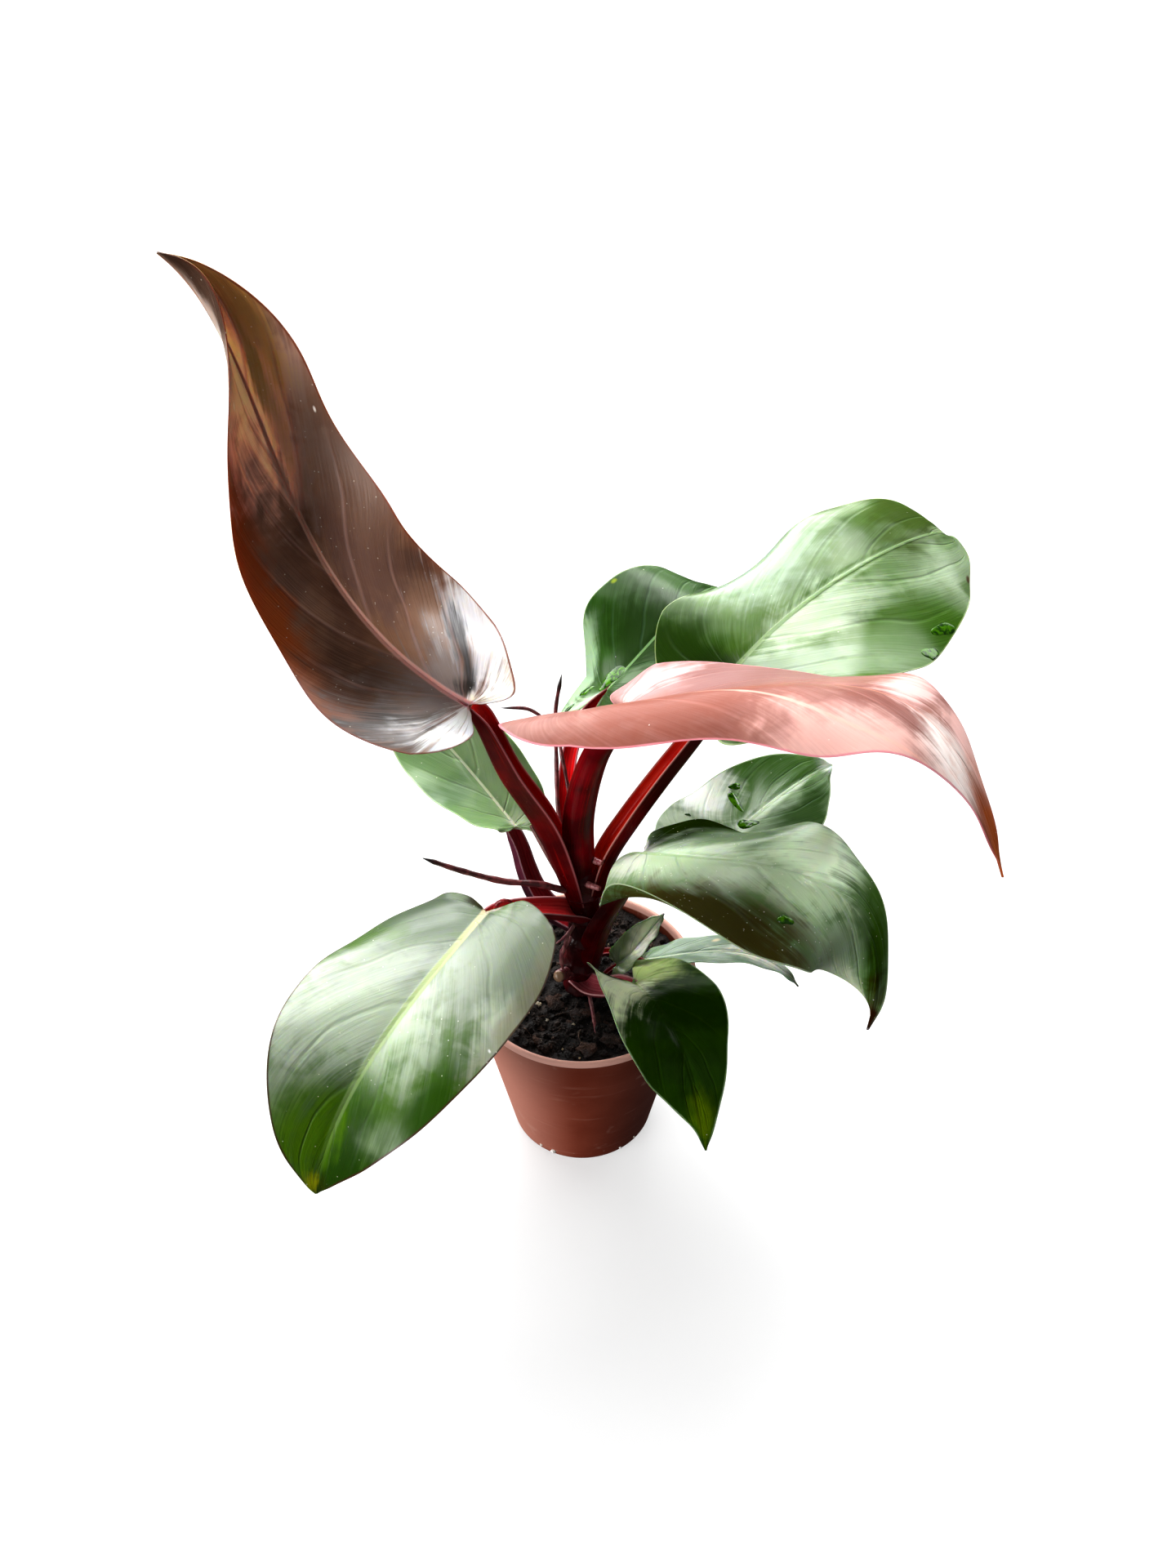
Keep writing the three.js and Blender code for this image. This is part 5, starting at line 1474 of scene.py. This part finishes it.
@dataclass
class Pot:
    """The thin plastic nursery pot."""

    height: float = 110
    rim_radius: float = 60
    base_radius: float = 39
    wall: float = 2.2
    floor: float = 2.4
    foot_radius: float = 2.5
    lip_height: float = 3.2
    lip_step: float = 0.8
    drain_holes: int = 6
    drain_radius: float = 3.5
    drain_circle: float = 27
    sides: int = 160

    def wall_at(self, height: float) -> float:
        """The outer radius at a height."""
        return self.base_radius + (self.rim_radius - self.lip_step - self.base_radius) * height / self.height

    def profile(self) -> list[Pair]:
        """Radius and height of each ring, from the foot up the outside and down the inside."""
        foot, rim, top = self.foot_radius, self.rim_radius, self.height
        lip = top - self.lip_height
        rounded = [(self.base_radius - foot + foot * math.sin(a), foot - foot * math.cos(a))
                   for a in np.radians((0, 25, 50, 72))]
        outside = [(self.wall_at(z), z) for z in (foot, 5, 20, 40, 60, 80, 98, lip - self.lip_step - 0.3)]
        lip_rings = [
            (rim - 0.75, lip - 0.5), (rim - 0.25, lip - 0.1), (rim - 0.02, lip + 0.35), (rim, lip + 0.9),
            (rim, top - 1.1), (rim - 0.15, top - 0.55), (rim - 0.55, top - 0.15), (rim - 1.2, top),
            (rim - 1.8, top - 0.05), (rim - 2.3, top - 0.35), (rim - 2.75, top - 0.9),
            (rim - self.wall - self.lip_step, top - 1.8)]
        inside = [(self.wall_at(z) - self.wall, z) for z in (100, 80, 60, 40, 20, self.floor + 2)]
        inner_floor = [(self.wall_at(self.floor) - self.wall - 0.8, self.floor + 0.5),
                       (self.wall_at(self.floor) - self.wall - 2, self.floor), (1.0, self.floor)]
        return rounded + outside + lip_rings + inside + inner_floor

    def build(self) -> Piece:
        """Models the pot: a disc extruded ring by ring up the outside and down the inside."""
        rings = self.profile()
        deselect_all()
        bpy.ops.mesh.primitive_circle_add(vertices=self.sides, radius=rings[0][0] * MM, fill_type="NGON",
                                          location=(0, 0, rings[0][1] * MM))
        pot = bpy.context.active_object
        pot.name = pot.data.name = "nursery_pot"
        bpy.ops.object.transform_apply(location=True)
        bpy.ops.object.mode_set(mode="EDIT")
        bpy.ops.mesh.select_all(action="SELECT")
        for (radius, height), (wider, higher) in zip(rings, rings[1:]):
            bpy.ops.mesh.extrude_edges_move(TRANSFORM_OT_translate={"value": (0, 0, (higher - height) * MM)})
            scale = wider / radius
            bpy.ops.transform.resize(value=(scale, scale, 1), center_override=(0, 0, higher * MM))
        bpy.ops.mesh.edge_face_add()
        bpy.ops.mesh.select_all(action="SELECT")
        bpy.ops.mesh.normals_make_consistent(inside=False)
        bpy.ops.object.mode_set(mode="OBJECT")
        for k in range(self.drain_holes):
            self.drill(pot, 2 * math.pi * (k + 0.5) / self.drain_holes)
        smooth(pot, 40)
        return pot

    def drill(self, pot: Piece, angle: float) -> None:
        """Cuts one drain hole through the floor at that angle."""
        place = (self.drain_circle * math.cos(angle) * MM, self.drain_circle * math.sin(angle) * MM, 0)
        bpy.ops.mesh.primitive_cylinder_add(vertices=32, radius=self.drain_radius * MM,
                                            depth=4 * self.floor * MM, location=place)
        drill = bpy.context.active_object
        bpy.context.view_layer.objects.active = pot
        apply_modifier(pot, "BOOLEAN", operation="DIFFERENCE", object=drill, solver="EXACT")
        bpy.data.objects.remove(drill)

    def dress(self, pot: Piece) -> None:
        """Gives the pot its matt terracotta-brown plastic, scuffed and a little dusty."""
        paint = Paint("pot_plastic")
        where = paint.place()
        x, y, z = paint.parts(where)
        cloud = paint.cloud(where, 22, 4)
        grain = paint.cloud(where, 900, 2)
        scuff = paint.cloud(paint.vector(x * 30, y * 30, z * 260), 1.0, 3)
        smudge = paint.cloud(where, 60, 3).within(0.62, 0.72)
        under_lip = self.height - self.lip_height
        lip = z.within((under_lip - 0.6) * MM, (under_lip + 0.6) * MM)
        dust = z.within(14 * MM, 0.0) * paint.dots(where, 420, 0.3, 0.2)
        colour = paint.layered(
            0x8A4632,
            (cloud.within(0.35, 0.65), 0x7C3824),
            # painted light: the left side paler, as if lit from the left
            (x.within(0, -42 * MM) * 0.7, 0xD09A8A),
            # painted shade: the right side darker, away from the light
            (x.within(0, 45 * MM) * 0.45, 0x521A0A),
            (scuff.within(0.6, 0.74) * 0.25, 0xB88878),
            (smudge * 0.3, 0xC09A8C),
            # painted highlight: a pale line along the step under the rim
            (lip * 0.95, 0xECBCAE),
            (dust * 0.6, 0xD8C4B8),
        )
        install(pot, Slot.POT, ("pot",), paint.surface(
            colour, cloud * 0.2 + 0.42, grain * 0.5 + scuff * 0.3, 0.00012, Specular_IOR_Level=0.12))


@dataclass(frozen=True)
class Litter:
    """Loose lumps that lie on the soil.

    size is their least and greatest half size in millimetres, flatness their least and
    greatest height as a share of it, and sink how far they sit in the soil, as a share of
    their height. colours are the two tones of their skin.
    """

    name: str
    count: int
    size: Pair
    flatness: Pair
    sink: float
    seed: int
    skin: str
    colours: tuple[int, int]
    chalky: bool = False


LITTER = (
    Litter("soil_crumbs", 1100, (0.5, 2.3), (0.5, 0.9), 0.3, 7, "soil_crumb", (0x150E0B, 0x302219)),
    Litter("bark_chips", 90, (1.8, 5.2), (0.2, 0.45), 0.3, 8, "bark_brown", (0x28170F, 0x4C3224)),
    Litter("pale_grains", 26, (0.6, 1.7), (0.6, 0.95), 0.25, 9, "grain_white", (0xE6DDCB, 0xC9B48C), True),
)


@dataclass
class Soil:
    """The potting mix: a lumpy surface with crumbs, bark, fibres and pale grains on it.

    spill holds the place and half size of each grain at the foot of the pot.
    """

    level: float = 101
    edge_rise: float = 3.5
    roughness: float = 1.1
    base: float = 2.7
    reach: float = 55.3
    foot: float = 38.0
    stem_gap: float = 8.5
    rim_gap: float = 2.5
    sides: int = 144
    rows: int = 70
    top_rows: int = 60
    fibres: int = 46
    fibre_seed: int = 12
    spill: tuple[tuple[float, float, float, float], ...] = (
        (-15.9, -36.6, 5.2, 1.7), (-22.5, -33.0, 5.6, 1.0), (21.0, -34.0, 4.2, 0.9), (28.7, -28.2, 5.8, 0.7))
    spill_seed: int = 16

    def height(self, x: Array | float, y: Array | float) -> Array | float:
        """Height of the surface at places in millimetres."""
        share = np.hypot(x, y) / self.reach
        rough = np.sin(0.31 * x + 1.1) * np.cos(0.27 * y - 0.4) + 0.6 * np.sin(0.62 * x - 0.51 * y + 2)
        return self.level + self.edge_rise * share**2 + self.roughness * rough

    def lump(self, x: float, y: float) -> float:
        """Height of the clods at one place, in millimetres."""
        scales = ((0.24, 0), (0.55, 4), (1.3, 8))
        coarse, middle, fine = (noise.noise(Vector((x * scale, y * scale, z))) for scale, z in scales)
        return 1.3 * coarse + 0.9 * abs(middle) + 0.5 * fine

    def build(self) -> Piece:
        """Models the soil's body: a round grid over the top, down the wall and under."""
        sheet, u, v = grid_sheet("potting_soil", self.sides, self.rows)
        top_share = self.top_rows / self.rows
        turn = 2 * np.pi * u
        share = np.clip(v / top_share, 0, 1)
        below = np.clip((v - top_share) / (1 - top_share), 0, 1)
        radius = self.reach * share
        x, y = radius * np.cos(turn), radius * np.sin(turn)
        lumps = np.array([self.lump(*spot) for spot in zip(x, y)])
        z = self.height(x, y) + lumps * np.where(share < 1, 1, 0.4) - 0.3
        down = np.minimum(below * 2, 1)
        z = z + (self.base - z) * down
        wall = self.reach + (self.foot - self.reach) * down
        radius = np.where(below > 0, wall * (1 - np.clip(below * 2 - 1, 0, 1)), radius)
        write_corners(sheet, np.stack([radius * np.cos(turn), radius * np.sin(turn), z], 1) * MM)
        close_tube(1e-5)
        smooth(sheet, 70)
        return sheet

    def dress(self, sheet: Piece) -> None:
        """Gives the soil its dark, damp, crumbly finish."""
        install(sheet, Slot.SOIL, ("soil",), self.earth("soil_earth", 0x120C0A, 0x281C15))

    def earth(self, name: str, dark: int, light: int) -> Material:
        """A crumbly material in two browns.

        Args:
            name: the material's name.
            dark: the darker brown.
            light: the lighter brown.

        Returns:
            The material.
        """
        paint = Paint(name)
        where = paint.place()
        cloud, crumb = paint.cloud(where, 160, 4), paint.cloud(where, 900, 4)
        colour = paint.layered(
            dark,
            (cloud.within(0.4, 0.65), light),
            (crumb.within(0.56, 0.7) * 0.5, 0x3C2D22),
            (paint.dots(where, 700, 0.2, 0.05), 0xB7A68C),
        )
        return paint.surface(colour, cloud * 0.3 + 0.6, cloud * 0.6 + crumb, 0.0014)

    def scattered(self, plan: Litter) -> Piece:
        """Copies one rough lump many times over the surface, as one piece."""
        deselect_all()
        bpy.ops.mesh.primitive_ico_sphere_add(subdivisions=2, radius=1.0)
        lumps = bpy.context.active_object
        lumps.name = lumps.data.name = plan.name
        shape = read_corners(lumps)
        faces = np.array([tuple(p.vertices) for p in lumps.data.polygons])
        chance = np.random.default_rng(plan.seed)
        (small, large), (flat, full) = plan.size, plan.flatness
        corners, triangles = [], []
        for k in range(plan.count):
            half = small + (large - small) * chance.random() ** 2
            low = flat + (full - flat) * chance.random()
            rough = 1 + 0.28 * chance.standard_normal((len(shape), 1)).clip(-1.5, 1.5)
            body = shape * rough * (half, half * (0.45 + 0.55 * chance.random()), half * low)
            turn, lean = 2 * math.pi * chance.random(), 0.9 * (chance.random() - 0.5)
            cos, sin = math.cos(lean), math.sin(lean)
            body = body @ np.array(((cos, 0, sin), (0, 1, 0), (-sin, 0, cos)))
            cos, sin = math.cos(turn), math.sin(turn)
            body = body @ np.array(((cos, sin, 0), (-sin, cos, 0), (0, 0, 1)))
            room = self.reach - self.rim_gap - half - self.stem_gap
            far = self.stem_gap + room * math.sqrt(chance.random())
            angle = 2 * math.pi * chance.random()
            x, y = far * math.cos(angle), far * math.sin(angle)
            ground = float(self.height(x, y))
            corners.append(body + (x, y, ground + half * low * (1 - 2 * plan.sink)))
            triangles.append(faces + k * len(shape))
        made = bpy.data.meshes.new(plan.name)
        made.from_pydata((np.concatenate(corners) * MM).tolist(), [], np.concatenate(triangles).tolist())
        lumps.data = made
        smooth(lumps, 35)
        return lumps

    def strands(self) -> Piece:
        """Models the fibres: thin bent strands lying on the soil, joined into one piece."""
        chance = np.random.default_rng(self.fibre_seed)
        parts = []
        for k in range(self.fibres):
            length = 5 + 13 * chance.random()
            far, angle, turn = 12 + 34 * math.sqrt(chance.random()), *(2 * math.pi * chance.random(2))
            bend = chance.uniform(-1.2, 1.2)
            points = []
            for step in np.linspace(-0.5, 0.5, 6):
                way = turn + bend * step
                x = far * math.cos(angle) + length * step * math.cos(way)
                y = far * math.sin(angle) + length * step * math.sin(way)
                if math.hypot(x, y) > self.reach - 2:
                    x, y = (c * (self.reach - 2) / math.hypot(x, y) for c in (x, y))
                rise = 0.9 + 1.2 * chance.random()
                points.append((x, y, float(self.height(x, y)) + rise))
            thick = chance.uniform(0.16, 0.42)
            fibre = RootPlan(f"fibre_{k}", tuple(points), (thick, thick * 0.6))
            parts.append(Root(fibre, sides=6, rows=14).build())
        return join(parts, "soil_fibres")

    def litter(self) -> None:
        """Adds what lies on the soil and at the pot's foot: lumps, spilled grains and fibres."""
        for plan in LITTER:
            skin = self.stone if plan.chalky else self.earth
            install(self.scattered(plan), Slot.SOIL, (), skin(plan.skin, *plan.colours))
        install(self.spilled(), Slot.SOIL, (), self.stone("spilled_white", 0xF4F2EE, 0xD6CFC4))
        install(self.strands(), Slot.SOIL, (), self.earth("fibre_brown", 0x3A2A20, 0x6A5240))

    def spilled(self) -> Piece:
        """Models the few pale grains that cling to the foot of the pot, joined into one piece."""
        chance = np.random.default_rng(self.spill_seed)
        parts = []
        for x, y, z, half in self.spill:
            deselect_all()
            bpy.ops.mesh.primitive_ico_sphere_add(subdivisions=2, radius=1.0)
            part = bpy.context.active_object
            rough = 1 + 0.16 * chance.standard_normal((len(part.data.vertices), 1)).clip(-1.2, 1.2)
            body = read_corners(part) * rough * (half, half * 0.8, half * 0.85) + (x, y, z)
            body[:, 2] = body[:, 2].clip(0.05)
            write_corners(part, body * MM)
            smooth(part, 35)
            parts.append(part)
        return join(parts, "foot_grains")

    def stone(self, name: str, light: int, dull: int) -> Material:
        """The chalky material of perlite and grit, in two tones."""
        paint = Paint(name)
        where = paint.place()
        cloud = paint.cloud(where, 300, 3)
        colour = paint.mix(cloud.within(0.4, 0.65), light, dull)
        return paint.surface(colour, cloud * 0.2 + 0.6, paint.cloud(where, 1400, 3), 0.0006)


# The whole plant and its studio


@dataclass
class Plant:
    """The plant: stem, stalks, blades and roots."""

    blades: dict[str, Blade] = field(default_factory=dict)
    small_width: float = 40

    def grow(self) -> None:
        """Builds and dresses every part of the plant."""
        stem = Stem()
        stem.dress(stem.build())
        for name, plan in LEAVES.items():
            small = plan.width < self.small_width
            blade = Blade(name, plan, FINISHES[name], columns=40 if small else 64, rows=64 if small else 112)
            self.blades[name] = blade
            blade.dress(blade.build())
            finish = LEAF_STALKS.get(name, MAROON_STALK)
            stalk = Petiole(f"stalk_{name}", plan.petiole, finish, self.joint(blade), f"petiole_{name}")
            stalk.dress(stalk.build())
        self.sheath()
        for roots, slot, colours in ROOT_GROUPS:
            skin = root_skin(*colours)
            for root in roots:
                install(Root(root).build(), slot, root.stands_for, skin)
        for drop in DROPS:
            drop.dress(drop.build(self.blades[drop.leaf]))

    def joint(self, blade: Blade) -> tuple[Triple, ...]:
        """Where the stalk meets its blade, and two points on under the midrib."""
        point, _, _, up = blade.frame_at(np.array([0.0, 0.05, 0.13]))
        depth = blade.plan.petiole.depth[2]
        drop = np.array([0.7 * depth, 0.5 * depth + 0.6, 1.6])
        return tuple(tuple(float(c) for c in p) for p in point - up * drop[:, None])

    def sheath(self) -> None:
        """Adds the dried sheath that stands between two stalks."""
        plan = PetiolePlan(
            route=((-4, 5, 158), (-9, 9, 170), (-16, 14, 182)), adaxial=(0.7, -0.4, 0.4),
            half=(3.5, 3.5, 2.5), depth=(1.4, 1.2, 1), wing_left=(1, 1.5, 1), wing_right=(1, 1.5, 1))
        sheath = Petiole("sheath_dried", plan, DRY_STALK, ((-24, 19, 196),), "dry_sheath", wing_edge=0.6)
        sheath.dress(sheath.build())


@dataclass(frozen=True)
class Lamp:
    """A soft, far light.

    turn is its compass angle from straight behind the plant, to the right, rise its height
    over the horizon and spread its width, in degrees.
    """

    turn: float
    rise: float
    spread: float
    strength: float


# A tall window behind and to the left, part of it further right, a low glow at the left, a weak front fill
LAMPS = (
    Lamp(-42, 14, 40, 1.6), Lamp(-8, 14, 40, 1.6), Lamp(-42, 50, 42, 1.9), Lamp(-6, 50, 42, 1.9),
    Lamp(17, 54, 26, 1.5), Lamp(44, 28, 34, 1.1), Lamp(-125, 12, 42, 4.0), Lamp(170, 35, 90, 0.4),
)


@dataclass
class Studio:
    """The camera, the floor and the soft light."""

    place: Triple = (0.0032, -0.4483, 0.6053)
    tilt: float = 50.6
    lens: float = 29.06
    sensor: float = 36.0
    clip: Pair = (0.01, 200)
    floor_size: float = 40.0
    floor_glow: float = 0.62
    surround: float = 0.16
    contrast: float = 1.25

    def camera(self) -> None:
        """Sets the camera at the photograph's angle."""
        bpy.ops.object.camera_add(location=self.place, rotation=(math.radians(self.tilt), 0, 0))
        camera = bpy.context.active_object
        camera.data.lens = self.lens
        camera.data.sensor_width = self.sensor
        camera.data.clip_start, camera.data.clip_end = self.clip
        bpy.context.scene.camera = camera

    def floor(self) -> None:
        """Lays the plain pale floor."""
        deselect_all()
        bpy.ops.mesh.primitive_plane_add(size=self.floor_size)
        floor = bpy.context.active_object
        floor.name = "studio_floor"
        paint = Paint("floor_white")
        cloud = paint.cloud(paint.place(), 1.5, 2)
        colour = paint.mix(cloud, (0.3, 0.3, 0.3, 1), (0.33, 0.33, 0.33, 1))
        floor.data.materials.append(paint.surface(
            colour, 0.9, Emission_Color=(1, 1, 1, 1), Emission_Strength=self.floor_glow))
        floor.visible_diffuse = floor.visible_glossy = False

    def shine(self, plan: Lamp) -> None:
        """Adds one soft, far light."""
        bpy.ops.object.light_add(type="SUN", location=(0, 0, 2))
        lamp = bpy.context.active_object
        turn, rise = math.radians(plan.turn), math.radians(plan.rise)
        towards = Vector((math.sin(turn) * math.cos(rise), math.cos(turn) * math.cos(rise), math.sin(rise)))
        lamp.rotation_euler = towards.to_track_quat("Z", "Y").to_euler()
        lamp.data.energy = plan.strength
        lamp.data.angle = math.radians(plan.spread)

    def light(self) -> None:
        """Lights the plant from a bright window behind, a softer one at the left, and all round."""
        scene = bpy.context.scene
        scene.view_settings.view_transform = "Standard"
        scene.view_settings.gamma = 1 / self.contrast
        for lamp in LAMPS:
            self.shine(lamp)
        world = scene.world or bpy.data.worlds.new("World")
        scene.world = world
        world.use_nodes = True
        background = world.node_tree.nodes["Background"]
        background.inputs["Color"].default_value = (1, 1, 1, 1)
        background.inputs["Strength"].default_value = self.surround


def main() -> None:
    """Builds the studio, the pot, the soil and the plant."""
    logging.basicConfig(level=logging.INFO, format="%(name)s: %(message)s")
    deselect_all()
    studio = Studio()
    studio.camera()
    studio.floor()
    studio.light()
    pot = Pot()
    pot.dress(pot.build())
    soil = Soil()
    soil.dress(soil.build())
    soil.litter()
    Plant().grow()
    bpy.context.view_layer.update()


if __name__ == "__main__":
    main()
